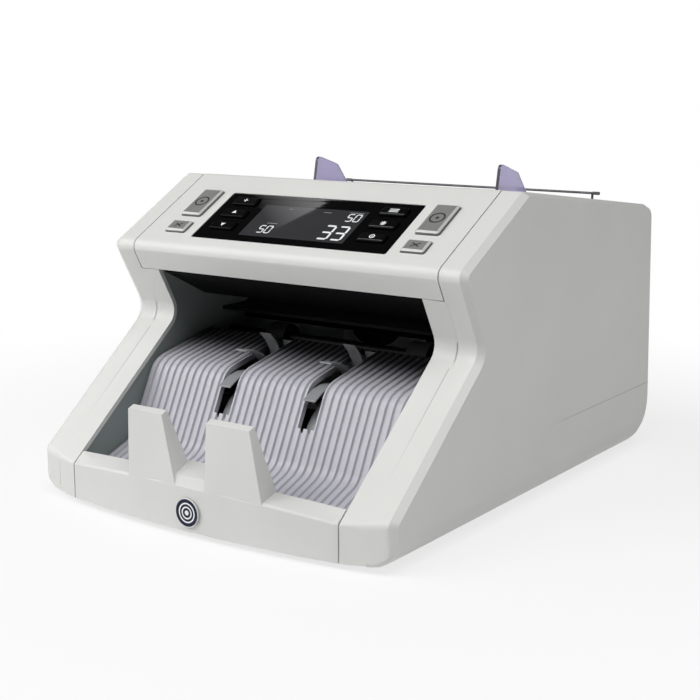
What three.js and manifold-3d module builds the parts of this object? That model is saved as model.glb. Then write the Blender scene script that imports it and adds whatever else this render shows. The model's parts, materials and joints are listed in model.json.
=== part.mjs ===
// Banknote counter with a front stacker pocket and a rear hopper.
// Millimetres. X runs across the machine, Y from its front to its back, Z up.
import * as THREE from 'three';
import { mergeVertices } from 'three/addons/utils/BufferGeometryUtils.js';
import Module from 'manifold-3d';

const wasm = await Module();
wasm.setup();

const degrees = Math.PI / 180;
const quarter = Math.PI / 2;

// Driving sizes of the housing
const width = 245;
const sideDepth = 16.5;
const postWidth = 13.4;
const wall = 2.6;
const gap = 0.3;
const overrun = 8;
const halfWidth = width / 2;
const seamHalf = halfWidth - sideDepth;
const pocketHalf = seamHalf - postWidth;
const coverHalf = seamHalf - gap;

// The side line of the housing, from the tray's crease up to the brow and over the roof
const creaseY = -7;
const creaseZ = 17.2;
const armAngle = 39.5 * degrees;
const armLength = 116;
const browAngle = 118.9 * degrees;
const browLength = 49.8;
const panelAngle = 29.2 * degrees;
const panelLength = 76.3;
const noseRadius = 6;
const browRadius = 4;
const roofAngle = -6.8 * degrees;
const roofLength = 169.2;
const rearLean = 3.1 * degrees;
const apronDrop = 3;
const bowDepth = 7;
const arcSteps = 5;
const cornerSteps = 2;
const leastRadius = 0.5;

const point = (y, z) => new THREE.Vector2(y, z);
const along = (start, angle, length) =>
  start.clone().add(point(Math.cos(angle), Math.sin(angle)).multiplyScalar(length));

const crease = point(creaseY, creaseZ);
const recess = along(crease, armAngle, armLength);
const nose = along(recess, browAngle, browLength);
const panelTop = along(nose, panelAngle, panelLength);
const roofEnd = along(panelTop, roofAngle, roofLength);
const rearY = (z) => roofEnd.x + (roofEnd.y - z) * Math.tan(rearLean);
const roofZ = (y) => panelTop.y + (y - panelTop.x) * Math.tan(roofAngle);
const armZ = (y) => crease.y + (y - crease.x) * Math.tan(armAngle);

// The front bows forward in plan: deepest at the middle, level with the crease at the pocket's edge
const frontY = (x) => crease.x - bowDepth * (1 - (x / pocketHalf) ** 2);

// Outlines are lists of corners; a corner's radius rounds it
const corner = (at, radius = 0) => ({ at, radius });

// Corners moved to the left of the way they are walked, which is inward for a closed outline
function offsetCorners(corners, distance, closed = true) {
  const count = corners.length;
  return corners.map((here, index) => {
    const before = corners[(index + count - 1) % count].at;
    const after = corners[(index + 1) % count].at;
    const inward = here.at.clone().sub(before).normalize();
    const outward = after.clone().sub(here.at).normalize();
    if (!closed && index === 0) inward.copy(outward);
    if (!closed && index === count - 1) outward.copy(inward);
    const turn = Math.sign(inward.cross(outward));
    const normal = point(-inward.y - outward.y, inward.x + outward.x);
    normal.multiplyScalar(distance / (1 + inward.dot(outward)));
    const radius = here.radius === 0 ? 0 : Math.max(here.radius - turn * distance, leastRadius);
    return corner(here.at.clone().add(normal), radius);
  });
}

function roundCorners(corners, closed = true, steps = arcSteps) {
  const count = corners.length;
  return corners.flatMap((here, index) => {
    const open = !closed && (index === 0 || index === count - 1);
    if (here.radius === 0 || open) return [here.at.clone()];
    const before = corners[(index + count - 1) % count].at.clone().sub(here.at).normalize();
    const after = corners[(index + 1) % count].at.clone().sub(here.at).normalize();
    const half = Math.acos(THREE.MathUtils.clamp(before.dot(after), -1, 1)) / 2;
    const middle = before.clone().add(after).normalize();
    const centre = here.at.clone().addScaledVector(middle, here.radius / Math.sin(half));
    const reach = here.radius / Math.tan(half);
    const start = here.at.clone().addScaledVector(before, reach).sub(centre).angle();
    const end = here.at.clone().addScaledVector(after, reach).sub(centre).angle();
    const sweep = Math.atan2(Math.sin(end - start), Math.cos(end - start));
    return Array.from({ length: steps + 1 }, (_, step) =>
      along(centre, start + (sweep * step) / steps, here.radius));
  });
}

// Open lines, and walls of even thickness that follow them on their left (or right, if below zero)
const bent = (corners) => roundCorners(corners, false);
const beside = (corners, distance) => offsetCorners(corners, distance, false);

function strip(corners, thickness) {
  const outline = [...bent(corners), ...bent(beside(corners, thickness)).reverse()];
  return thickness < 0 ? outline.reverse() : outline;
}

const sharp = (...points) => points.map((at) => corner(at));

// Solids
function toSolid(geometry) {
  const bare = geometry.clone();
  for (const name of Object.keys(bare.attributes)) if (name !== 'position') bare.deleteAttribute(name);
  const merged = mergeVertices(bare);
  const indices = Uint32Array.from(merged.index.array);
  const vertProperties = Float32Array.from(merged.attributes.position.array);
  return new wasm.Manifold(new wasm.Mesh({ numProp: 3, vertProperties, triVerts: indices }));
}

function toGeometry(solid) {
  const mesh = solid.getMesh();
  const geometry = new THREE.BufferGeometry();
  geometry.setAttribute('position', new THREE.BufferAttribute(mesh.vertProperties, mesh.numProp));
  geometry.setIndex(new THREE.BufferAttribute(mesh.triVerts, 1));
  const flat = geometry.toNonIndexed();
  flat.computeVertexNormals();
  return flat;
}

const join = (first, ...others) => others.reduce((sum, other) => sum.add(other), first);
const cut = (first, ...others) => others.reduce((rest, other) => rest.subtract(other), first);
const moved = (solid, matrix) => solid.transform(matrix.elements);
const shift = (x, y, z) => new THREE.Matrix4().makeTranslation(x, y, z);

// Rings of points joined into a closed skin, with flat caps shaped like the first ring's outline
function loft(rings, outline) {
  const count = rings[0].length;
  const positions = rings.flat().flatMap((p) => [p.x, p.y, p.z]);
  const indices = [];
  for (let ring = 0; ring < rings.length - 1; ring += 1) {
    for (let here = 0; here < count; here += 1) {
      const next = (here + 1) % count;
      const [a, b] = [ring * count + here, ring * count + next];
      indices.push(a, b, b + count, a, b + count, a + count);
    }
  }
  const last = (rings.length - 1) * count;
  for (const [a, b, c] of THREE.ShapeUtils.triangulateShape(outline, [])) {
    indices.push(a, c, b, last + a, last + b, last + c);
  }
  const geometry = new THREE.BufferGeometry();
  geometry.setAttribute('position', new THREE.Float32BufferAttribute(positions, 3));
  geometry.setIndex(indices);
  return toSolid(geometry);
}

// Side outlines are lofted along X from the stations' outlines
function loftAcross(stations, outlineAt) {
  const outlines = stations.map(outlineAt);
  const rings = outlines.map((outline, index) =>
    outline.map((p) => new THREE.Vector3(stations[index], p.x, p.y)));
  return loft(rings, outlines[0]);
}

// A side outline extruded along X between two places
function across(outline, from, to) {
  const shape = new THREE.Shape(outline);
  const geometry = new THREE.ExtrudeGeometry(shape, { depth: to - from, bevelEnabled: false });
  const turn = new THREE.Matrix4().makeBasis(
    new THREE.Vector3(0, 1, 0), new THREE.Vector3(0, 0, 1), new THREE.Vector3(1, 0, 0));
  return moved(toSolid(geometry.applyMatrix4(turn)), shift(from, 0, 0));
}

// A plan outline extruded upwards between two heights
function upright(outline, from, to) {
  const shape = new THREE.Shape(outline);
  const geometry = new THREE.ExtrudeGeometry(shape, { depth: to - from, bevelEnabled: false });
  return moved(toSolid(geometry), shift(0, 0, from));
}

const rectangle = (x1, y1, x2, y2, radius = 0) => roundCorners(
  [point(x1, y1), point(x2, y1), point(x2, y2), point(x1, y2)].map((at) => corner(at, radius)),
  true, cornerSteps);
const block = (x1, y1, z1, x2, y2, z2, radius = 0) => upright(rectangle(x1, y1, x2, y2, radius), z1, z2);

// A solid turned about an axis along X, from a list of lengths and radii
const roundSides = 20;
const smallSides = 12;
const largeSides = 28;
const discSides = 48;
function turned(steps, from, sides = roundSides) {
  let x = from;
  const profile = [point(0, x)];
  for (const { length, radius } of steps) {
    profile.push(point(radius, x), point(radius, x + length));
    x += length;
  }
  profile.push(point(0, x));
  const geometry = new THREE.LatheGeometry(profile, sides).rotateX(quarter).rotateY(quarter);
  return toSolid(geometry);
}

const rod = (radius, from, to, sides = roundSides) => turned([{ length: to - from, radius }], from, sides);
const at = (solid, y, z) => moved(solid, shift(0, y, z));

// Finishes
const finishes = {
  shell: { color: 0xdcdcd8, roughness: 0.5, metalness: 0 },
  tray: { color: 0xd2d2cf, roughness: 0.5, metalness: 0 },
  ribs: { color: 0xc9c5cb, roughness: 0.45, metalness: 0 },
  liner: { color: 0x5f6563, roughness: 0.6, metalness: 0 },
  darkPlastic: { color: 0x1b1c1d, roughness: 0.55, metalness: 0 },
  chassis: { color: 0x2a2c2d, roughness: 0.5, metalness: 0.4 },
  keyGrey: { color: 0xa3a3a3, roughness: 0.45, metalness: 0 },
  keyBlack: { color: 0x101112, roughness: 0.25, metalness: 0 },
  panelGlass: { color: 0x0d0e10, roughness: 0.08, metalness: 0 },
  smokeViolet: { color: 0x8d84a6, roughness: 0.15, metalness: 0 },
  badgeNavy: { color: 0x1f2f7a, roughness: 0.4, metalness: 0 },
  rubber: { color: 0x2b2b2b, roughness: 0.85, metalness: 0 },
  wheelGrey: { color: 0x7d8285, roughness: 0.6, metalness: 0 },
  steel: { color: 0xb4b7ba, roughness: 0.3, metalness: 1 },
  board: { color: 0x1e5a35, roughness: 0.6, metalness: 0 },
};

const counter = new THREE.Group();

function piece(name, finish, solid, parent = counter) {
  const mesh = new THREE.Mesh(toGeometry(solid), new THREE.MeshStandardMaterial(finishes[finish]));
  mesh.name = name;
  parent.add(mesh);
  return mesh;
}

const sides = [['left', -1], ['right', 1]];
const mirrored = (solid, side) => (side > 0 ? solid : solid.mirror([1, 0, 0]));

// Side panels: moulded shells with a chamfered edge and a well rounded lower side
const sidePanel = {
  chamferWidth: 4, chamferInset: 2.4, frontRadius: 6, toeRadius: 3, rearRadius: 17, roofRadius: 9,
  recessRadius: 10, skirtRadius: 14.6, skirtSteps: 5,
};
const skirtFrom = halfWidth - sidePanel.skirtRadius;

function skirtRise(x) {
  const { skirtRadius } = sidePanel;
  const into = Math.min(Math.max(x - skirtFrom, 0), skirtRadius);
  return skirtRadius - Math.sqrt(skirtRadius ** 2 - into ** 2);
}

function sideOutline(x, inset) {
  const front = frontY(x);
  const bottom = Math.max(skirtRise(x) - inset, 0) - apronDrop;
  const corners = [
    corner(point(front, bottom), sidePanel.toeRadius),
    corner(point(rearY(bottom), bottom), sidePanel.rearRadius),
    corner(roofEnd, sidePanel.roofRadius),
    corner(panelTop, browRadius),
    corner(nose, noseRadius),
    corner(recess, sidePanel.recessRadius),
    corner(point(front, armZ(front)), sidePanel.frontRadius),
  ];
  return roundCorners(offsetCorners(corners, inset));
}

function sideShell() {
  const { chamferWidth, chamferInset, skirtRadius, skirtSteps } = sidePanel;
  const edge = halfWidth - chamferWidth;
  const stations = [seamHalf + gap, edge];
  for (let step = 0; step <= skirtSteps; step += 1) {
    stations.push(skirtFrom + skirtRadius * Math.sin((quarter * step) / skirtSteps));
  }
  const outer = loftAcross(stations.sort((a, b) => a - b),
    (x) => sideOutline(x, chamferInset * Math.max((x - edge) / chamferWidth, 0)));
  const inner = loftAcross([seamHalf - overrun, halfWidth - wall],
    (x) => (x > seamHalf ? sideOutline(halfWidth, wall + chamferInset) : sideOutline(seamHalf, wall)));
  return cut(outer, inner);
}

for (const [name, side] of sides) piece(`${name}_side_panel`, 'shell', mirrored(sideShell(), side));

// Front posts: the strips between the pocket and the side panels, with a rebate for the inner frame
const lip = { length: 17.3 };
const lipEnd = along(nose, browAngle + Math.PI, lip.length);
const post = { depth: 14, rebate: 2.7, liner: 2 };
const browEnd = along(lipEnd, browAngle + Math.PI, gap);

function postLine(x) {
  const front = frontY(x);
  return [
    corner(point(front, -apronDrop)),
    corner(point(front, armZ(front)), sidePanel.frontRadius / 3),
    corner(recess, sidePanel.recessRadius),
    corner(browEnd),
  ];
}

function frontPost() {
  const bar = loftAcross([pocketHalf, coverHalf], (x) => strip(postLine(x), -post.depth));
  const back = beside(postLine(pocketHalf), -post.rebate);
  const rebate = across(strip(back, -post.depth * 2), pocketHalf - overrun, pocketHalf + post.rebate);
  return cut(bar, rebate);
}

for (const [name, side] of sides) piece(`${name}_front_post`, 'shell', mirrored(frontPost(), side));

// Control panel frame: X across, Y up the slope from the nose, Z out of the panel
const panel = new THREE.Group();
panel.position.set(0, nose.x, nose.y);
panel.rotation.x = panelAngle;
panel.updateMatrix();
counter.add(panel);
const onPanel = (s, n) => along(along(nose, panelAngle, s), panelAngle + quarter, n);

// The panel's layout is worked in from the cover's ends: keys, glass, keys on the glass, display
const keyMargin = 22.7;
const glassMargin = 7.5;
const inkMargin = 15.5;
const lcdMargin = 7.2;
const largeKey = { width: 15, height: 26.5, low: 31.6, proud: 2, radius: 1.5, travel: 1.2 };
const smallKey = { width: 14.8, height: 10.4, low: 14.9, proud: 1.8, radius: 1.2, travel: 1.2 };
const keyColumn = coverHalf - keyMargin;
const glass = {
  half: keyColumn - largeKey.width / 2 - glassMargin, height: 46, low: 12.1,
  thickness: 1.2, rebate: 1.5, radius: 1.2,
};
const inkHeightShare = 0.1609;
const inkLowShare = 0.1978;
const inkPitchShare = 0.2685;
const inkKey = { width: 17.4, height: glass.height * inkHeightShare, proud: 1.3, radius: 1.2, travel: 0.8 };
const inkColumn = glass.half - inkMargin;
const lcd = { half: inkColumn - inkKey.width / 2 - lcdMargin, height: 30.5, low: 17.9, border: 2 };
const keyClear = 0.4;
const keyFlange = { spread: 1.1, thickness: 1.2 };
const keyTaper = 0.8;
const keyboard = { border: 8, low: 9, high: 63, drop: 8, thickness: 1.6, bossRadius: 3.2, bossInset: 4 };
const keyboardHalf = keyColumn + keyboard.border;

const keys = [];
for (const [name, side] of sides) {
  const column = { x: side * keyColumn, finish: 'keyGrey' };
  keys.push({ ...largeKey, ...column, name: `start_key_${name}`, y: largeKey.low });
  keys.push({ ...smallKey, ...column, name: `clear_key_${name}`, y: smallKey.low });
  ['lower', 'middle', 'upper'].forEach((row, index) => keys.push({
    ...inkKey, name: `${row}_ink_key_${name}`, x: side * inkColumn, finish: 'keyBlack',
    y: glass.low + glass.height * (inkLowShare + index * inkPitchShare), ink: true,
  }));
}

const keyBox = (key, spread, from, to, radius = key.radius) => block(
  key.x - key.width / 2 - spread, key.y - spread, from,
  key.x + key.width / 2 + spread, key.y + key.height + spread, to, radius);

// Control panel cover: sloped top, rounded nose and a lip under it, closed at both ends
const cover = { rearFlange: 12, rearReach: 6 };
const coverLine = [
  corner(along(panelTop, 0, cover.rearReach).sub(point(0, cover.rearFlange))),
  corner(along(panelTop, 0, cover.rearReach), browRadius),
  corner(panelTop, browRadius),
  corner(nose, noseRadius),
  corner(lipEnd),
];

function coverShell() {
  const skin = across(strip(coverLine, wall), -coverHalf, coverHalf);
  const ends = sides.map(([, side]) =>
    mirrored(across(bent(coverLine), coverHalf - wall, coverHalf), side));
  const bosses = sides.flatMap(([, side]) => [keyboard.low, keyboard.high].map((s, row) => {
    const y = s + (row === 0 ? keyboard.bossInset : -keyboard.bossInset);
    const x = side * (keyColumn - largeKey.width / 2 - keyboard.bossRadius * 2);
    const { bossRadius, drop } = keyboard;
    const boss = new THREE.CylinderGeometry(bossRadius, bossRadius, drop - gap - wall / 2, smallSides);
    return moved(toSolid(boss.rotateX(quarter)), shift(x, y, -(drop - gap + wall / 2) / 2));
  }));
  const seat = block(-glass.half - gap, glass.low - gap, -glass.rebate,
    glass.half + gap, glass.low + glass.height + gap, overrun, glass.radius);
  const window = block(-lcd.half, lcd.low, -overrun, lcd.half, lcd.low + lcd.height, overrun);
  const holes = keys.map((key) => keyBox(key, keyClear, -overrun, overrun));
  const local = [seat, window, ...holes].map((solid) => moved(solid, panel.matrix));
  return cut(join(skin, ...ends, ...bosses.map((boss) => moved(boss, panel.matrix))), ...local);
}

piece('control_panel_cover', 'shell', coverShell());

const glassPlate = block(-glass.half, glass.low, -glass.rebate + gap / 2,
  glass.half, glass.low + glass.height, -glass.rebate + gap / 2 + glass.thickness, glass.radius);
const inkHoles = keys.filter((key) => key.ink).map((key) => keyBox(key, keyClear, -overrun, overrun));
piece('display_glass', 'panelGlass', cut(glassPlate, ...inkHoles), panel);

const lcdTop = -wall - gap;
piece('lcd_module', 'darkPlastic', block(
  -lcd.half - lcd.border, lcd.low - lcd.border, -keyboard.drop + gap,
  lcd.half + lcd.border, lcd.low + lcd.height + lcd.border, lcdTop), panel);

// A key cap narrows towards its top and is held by a flange under the cover
function keyCap(key) {
  const halves = [key.width / 2, key.height / 2];
  const ring = (inset, z) => rectangle(
    -halves[0] + inset, -halves[1] + inset, halves[0] - inset, halves[1] - inset, key.radius,
  ).map((p) => new THREE.Vector3(key.x + p.x, key.y + halves[1] + p.y, z));
  const outline = rectangle(-halves[0], -halves[1], halves[0], halves[1], key.radius);
  const cap = loft(
    [ring(0, lcdTop - keyFlange.thickness / 2), ring(0, key.proud / 3), ring(keyTaper, key.proud)], outline);
  return join(cap, keyBox(key, keyFlange.spread, lcdTop - keyFlange.thickness, lcdTop, key.radius));
}

for (const key of keys) piece(key.name, key.finish, keyCap(key), panel);

function keyBoard() {
  const { low, high, drop, thickness } = keyboard;
  const plate = block(-keyboardHalf, low, -drop - thickness, keyboardHalf, high, -drop);
  const domes = keys.map((key) => {
    const radius = key.height / 3;
    const top = lcdTop - keyFlange.thickness - key.travel - gap;
    const dome = new THREE.CylinderGeometry(radius, radius, top + drop + thickness / 2, smallSides);
    return moved(toSolid(dome.rotateX(quarter)),
      shift(key.x, key.y + key.height / 2, (top - drop - thickness / 2) / 2));
  });
  return join(plate, ...domes);
}

piece('key_board', 'board', keyBoard(), panel);

// Tray cover: bowed apron, sloped ledge, the wall behind it and two tapered fingers
const ledge = { backY: 1.2, rise: 5, wallFoot: 7.5, wallLean: 1.3, radius: 2 };
const finger = {
  footBack: 2.9, topFront: -11.6, topFrontZ: 57.2, topBack: -7.4, topBackZ: 58.9,
  webTop: 30.8, webFront: 26.5,
};
const fingerShares = [
  { foot: [-0.475, -0.0875], tip: [-0.471, -0.21] },
  { foot: [0.122, 0.5243], tip: [0.125, 0.434] },
];
const trayHalf = pocketHalf - gap;
const traySteps = 8;
const trayStations = Array.from({ length: traySteps + 1 }, (_, index) =>
  THREE.MathUtils.lerp(-trayHalf, trayHalf, index / traySteps));
const ledgeZ = armZ(ledge.backY);
const creaseHeight = (x) => crease.y + ledge.rise * (1 - (x / pocketHalf) ** 2);

function trayLine(x) {
  return [
    corner(point(ledge.backY + ledge.wallLean, ledge.wallFoot)),
    corner(point(ledge.backY, ledgeZ), ledge.radius / 2),
    corner(point(frontY(x), creaseHeight(x)), ledge.radius),
    corner(point(frontY(x), -apronDrop)),
  ];
}

function fingerSolid({ foot, tip }) {
  const [left, right] = foot.map((share) => share * pocketHalf);
  const [tipLeft, tipRight] = tip.map((share) => share * pocketHalf);
  const { footBack, topFront, topFrontZ, topBack, topBackZ } = finger;
  const low = [
    [left, frontY(left), creaseZ], [right, frontY(right), creaseZ], [right, footBack, creaseZ],
    [left, footBack, creaseZ],
  ];
  const high = [
    [tipLeft, topFront, topFrontZ], [tipRight, topFront, topFrontZ], [tipRight, topBack, topBackZ],
    [tipLeft, topBack, topBackZ],
  ];
  const rings = [low, high].map((ring) => ring.map((p) => new THREE.Vector3(...p)));
  return loft(rings, low.map(([x, y]) => point(x, y)));
}

function trayCover() {
  const skin = loftAcross(trayStations, (x) => strip(trayLine(x), wall));
  const ends = sides.map(([, side]) => mirrored(
    loftAcross([trayHalf - wall, trayHalf], (x) => bent(trayLine(x))), side));
  const web = across([
    point(ledge.backY, ledgeZ - wall), point(ledge.backY, finger.webTop),
    point(finger.topFront, finger.webFront), point(frontY(0) + gap, creaseHeight(0) - wall / 2),
  ], fingerShares[0].tip[1] * pocketHalf, fingerShares[1].tip[0] * pocketHalf);
  return join(skin, ...ends, web, ...fingerShares.map(fingerSolid));
}

piece('tray_cover', 'tray', trayCover());

const badge = { radius: 7.9, thickness: 1, height: 7.8, sides: 32 };
const badgeDisc = new THREE.CylinderGeometry(badge.radius, badge.radius, badge.thickness, badge.sides);
piece('front_badge', 'badgeNavy', toSolid(badgeDisc)).position.set(
  0, frontY(0) - gap - badge.thickness / 2, badge.height);

// Stacker plate: a ribbed floor, a steep back and a gently sloped top in one moulding
const ribs = {
  pitch: 5, height: 1.3, crestShare: 0.56, thickness: 2, floorAngle: 20 * degrees, backAngle: 63.5 * degrees,
  topAngle: 12.2 * degrees, heelY: 39.4, heelZ: 21.8, axisAngle: -35.8 * degrees, radius: 13, steps: 3,
  backLength: 49, topLength: 52, frontClear: 2,
};
const wheel = {
  radius: 38, reach: 33.4, hub: 13, width: 8, vanes: 10, vaneThickness: 1.8, vaneSteps: 5,
  sweep: 52 * degrees, clear: 1.5,
};
const heel = point(ribs.heelY, ribs.heelZ);
const bend = along(heel, ribs.backAngle, ribs.backLength);
const plateEnd = along(bend, ribs.topAngle, ribs.topLength);
const toeLength = (heel.x - ledge.backY - ledge.wallLean - ribs.frontClear) / Math.cos(ribs.floorAngle);
const toe = along(heel, ribs.floorAngle + Math.PI, toeLength);
const wheelAxis = along(bend, ribs.axisAngle, wheel.reach);
const frameHalf = pocketHalf + post.rebate - post.liner;

// Where the wheels and rollers stand on their shafts, as shares of the room between the frames
const rollerShares = { wheel: 0.322, feed: 0.3, pick: 0.268, exit: 0.557 };
wheel.x = rollerShares.wheel * frameHalf;

function ribbedPlate() {
  const path = [corner(toe), corner(heel, ribs.radius), corner(bend, ribs.radius), corner(plateEnd)];
  const [line, crest, under] = [0, ribs.height, -ribs.thickness].map((height) =>
    roundCorners(beside(path, height), false, ribs.steps));
  const half = frameHalf - gap;
  const count = Math.floor((2 * half) / ribs.pitch);
  const start = -(count * ribs.pitch) / 2;
  const flank = (ribs.pitch * (1 - ribs.crestShare)) / 4;
  const columns = [{ x: -half, line }];
  for (let index = 0; index < count; index += 1) {
    const x = start + index * ribs.pitch;
    columns.push({ x: x + flank, line }, { x: x + 2 * flank, line: crest });
    columns.push({ x: x + ribs.pitch - 2 * flank, line: crest }, { x: x + ribs.pitch - flank, line });
  }
  columns.push({ x: half, line });
  const last = columns.length - 1;
  const length = line.length;
  const lower = columns.length * length;
  const spots = columns.flatMap((column) => column.line.map((p) => [column.x, p.x, p.y]));
  for (const x of [-half, half]) spots.push(...under.map((p) => [x, p.x, p.y]));
  const faces = [];
  const quad = (a, b, c, d) => faces.push(a, b, c, a, c, d);
  for (let step = 0; step < length - 1; step += 1) {
    for (let column = 0; column < last; column += 1) {
      const a = column * length + step;
      quad(a, a + length, a + length + 1, a + 1);
    }
    const [l, r] = [lower + step, lower + length + step];
    quad(l, l + 1, r + 1, r);
    quad(step, step + 1, l + 1, l);
    quad(last * length + step, r, r + 1, last * length + step + 1);
  }
  for (const step of [0, length - 1]) {
    const edge = columns.map((_, column) => column * length + step);
    const ring = [...edge, lower + length + step, lower + step];
    const flat = ring.map((index) => {
      const [x, y, z] = spots[index];
      const away = point(y, z).sub(line[step]);
      return point(x, away.dot(point(0, 1)));
    });
    for (const [a, b, c] of THREE.ShapeUtils.triangulateShape(flat, [])) {
      const turn = THREE.ShapeUtils.area([flat[a], flat[b], flat[c]]) > 0;
      const face = turn === (step === 0) ? [a, b, c] : [a, c, b];
      faces.push(...face.map((index) => ring[index]));
    }
  }
  const geometry = new THREE.BufferGeometry();
  geometry.setAttribute('position', new THREE.Float32BufferAttribute(spots.flat(), 3));
  geometry.setIndex(faces);
  return toSolid(geometry);
}

const wheelSlots = sides.map(([, side]) => {
  const [from, to] = [-1, 1].map((edge) => side * wheel.x + edge * (wheel.width / 2 + wheel.clear));
  const disc = at(rod(wheel.radius + wheel.clear, from, to, discSides), wheelAxis.x, wheelAxis.y);
  return join(disc, block(from, wheelAxis.x, wheelAxis.y, to, plateEnd.x + overrun, plateEnd.y + overrun));
});
piece('stacker_rib_plate', 'ribs', cut(ribbedPlate(), ...wheelSlots));

// Ceiling of the pocket, tucked behind the cover's lip
const ceiling = {
  drop: 2, lead: 6, rear: 40, angle: -26 * degrees, foldAngle: -8 * degrees, fold: 9, thickness: 2,
};
const ceilingStart = along(lipEnd, 0, ceiling.lead).sub(point(0, ceiling.drop));
const ceilingBend = along(ceilingStart, ceiling.angle, ceiling.rear);
const ceilingLine = sharp(ceilingStart, ceilingBend, along(ceilingBend, ceiling.foldAngle, ceiling.fold));
piece('pocket_ceiling', 'darkPlastic', across(strip(ceilingLine, ceiling.thickness),
  -frameHalf + gap, frameHalf - gap));

// Hopper frame: Y up the plate from its lower end, Z out of the plate
const hopperAngle = 41 * degrees;
const hopperLength = 74;
const hopperReach = 134.2;
const hopperFall = -7.65 * degrees;
const hopperTop = along(panelTop, hopperFall, hopperReach);
const hopperFoot = along(hopperTop, hopperAngle + Math.PI, hopperLength);
const hopper = new THREE.Group();
hopper.position.set(0, hopperFoot.x, hopperFoot.y);
hopper.rotation.x = hopperAngle;
hopper.updateMatrix();
counter.add(hopper);
const onHopper = (s, n) => along(along(hopperFoot, hopperAngle, s), hopperAngle + quarter, n);

const hopperInset = 7.7;
const hopperPlate = { half: seamHalf - hopperInset, thickness: 2.2 };
const pick = {
  radius: 12, width: 14, x: rollerShares.pick * frameHalf, s: 39.5, proud: 1.2, shaft: 4, slotClear: 1.6,
};
const feed = { radius: 22, width: 16, x: rollerShares.feed * frameHalf, s: -13, proud: 1.5, shaft: 4 };
const retard = { radius: 8, width: 16, shaft: 3 };
const noteWidth = 133;
const noteClear = 0.8;
const guide = {
  x: noteWidth / 2 + noteClear, thickness: 2, low: 4, high: 54, shoulder: 45, tipS: 42, tip: 64,
  kneeS: 9, knee: 38, radius: 3, footLow: 13.8, footHigh: 19.2, carrierHalf: 5, rackWidth: 5,
  rackLow: 7.3, carrierLow: 4.4, inward: 12, slotMargin: 4, meshed: 9,
};
guide.outward = hopperPlate.half - guide.x - guide.thickness * 2 - guide.slotMargin;
guide.reach = guide.outward + guide.meshed;
const pinion = { radius: 5, s: 16.5, clear: 0.4, sides: 20 };

function hopperPlateSolid() {
  const { half, thickness } = hopperPlate;
  const plate = block(-half, 0, -thickness, half, hopperLength, 0);
  const reach = Math.sqrt(pick.radius ** 2 - (pick.radius - pick.proud) ** 2) + pick.slotClear * 2;
  const slots = sides.flatMap(([, side]) => [
    block(side * pick.x - pick.width / 2 - pick.slotClear, pick.s - reach, -overrun,
      side * pick.x + pick.width / 2 + pick.slotClear, pick.s + reach, overrun),
    mirrored(block(guide.x - guide.inward - guide.thickness * 2, guide.footLow - keyClear, -overrun,
      guide.x + guide.outward + guide.thickness * 2, guide.footHigh + keyClear, overrun), side),
  ]);
  return cut(plate, ...slots);
}

piece('hopper_plate', 'shell', hopperPlateSolid(), hopper);

// Note guides: a tall fin, a foot through the plate's slot and a rack that meets the pinion
function noteGuide(side) {
  const { x, thickness, low, high, shoulder, tipS, tip, kneeS, knee, radius } = guide;
  const fin = across(roundCorners([
    corner(point(low, gap)), corner(point(high, gap)), corner(point(high, shoulder), radius),
    corner(point(tipS, tip), radius), corner(point(kneeS, knee), radius * 2),
  ]), x - thickness / 2, x + thickness / 2);
  const plateUnder = hopperPlate.thickness + gap;
  const foot = block(x - thickness / 2, guide.footLow, -plateUnder - gap,
    x + thickness / 2, guide.footHigh, gap * 2);
  const rackS = pinion.s + side * (pinion.radius + pinion.clear + guide.rackWidth / 2);
  const [rackFrom, rackTo] = [rackS - guide.rackWidth / 2, rackS + guide.rackWidth / 2];
  const carrier = block(x - guide.carrierHalf, Math.min(rackFrom, guide.footLow), -guide.carrierLow,
    x + guide.carrierHalf, Math.max(rackTo, guide.footHigh), -plateUnder);
  const rack = block(-guide.reach, rackFrom, -guide.rackLow,
    x + guide.carrierHalf, rackTo, -guide.carrierLow + gap / 2);
  return mirrored(join(fin, foot, carrier, rack), side);
}

for (const [name, side] of sides) piece(`${name}_note_guide`, 'smokeViolet', noteGuide(side), hopper);

const pinionDisc = new THREE.CylinderGeometry(
  pinion.radius, pinion.radius, guide.rackLow - guide.carrierLow, pinion.sides);
const pinionPin = new THREE.CylinderGeometry(pinion.radius / 3, pinion.radius / 3,
  guide.rackLow - hopperPlate.thickness - gap, smallSides);
const pinionSolid = join(
  moved(toSolid(pinionDisc.rotateX(quarter)), shift(0, 0, -(guide.rackLow + guide.carrierLow) / 2)),
  moved(toSolid(pinionPin.rotateX(quarter)),
    shift(0, 0, -(guide.rackLow + hopperPlate.thickness + gap) / 2)));
piece('guide_pinion', 'keyGrey', pinionSolid, hopper).position.y = pinion.s;

// Front slope of the hopper, from behind the control panel down to the feed gap
const slope = { drop: 10, back: 7, lowS: 1.5, lowN: 10, thickness: 2.2 };
const slopeTop = along(panelTop, 0, cover.rearReach + slope.back).sub(point(0, slope.drop / 3));
const slopeEnd = onHopper(slope.lowS, slope.lowN);
piece('hopper_front_slope', 'shell', across(
  strip(sharp(slopeTop, slopeEnd), -slope.thickness), -hopperPlate.half, hopperPlate.half));

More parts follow.
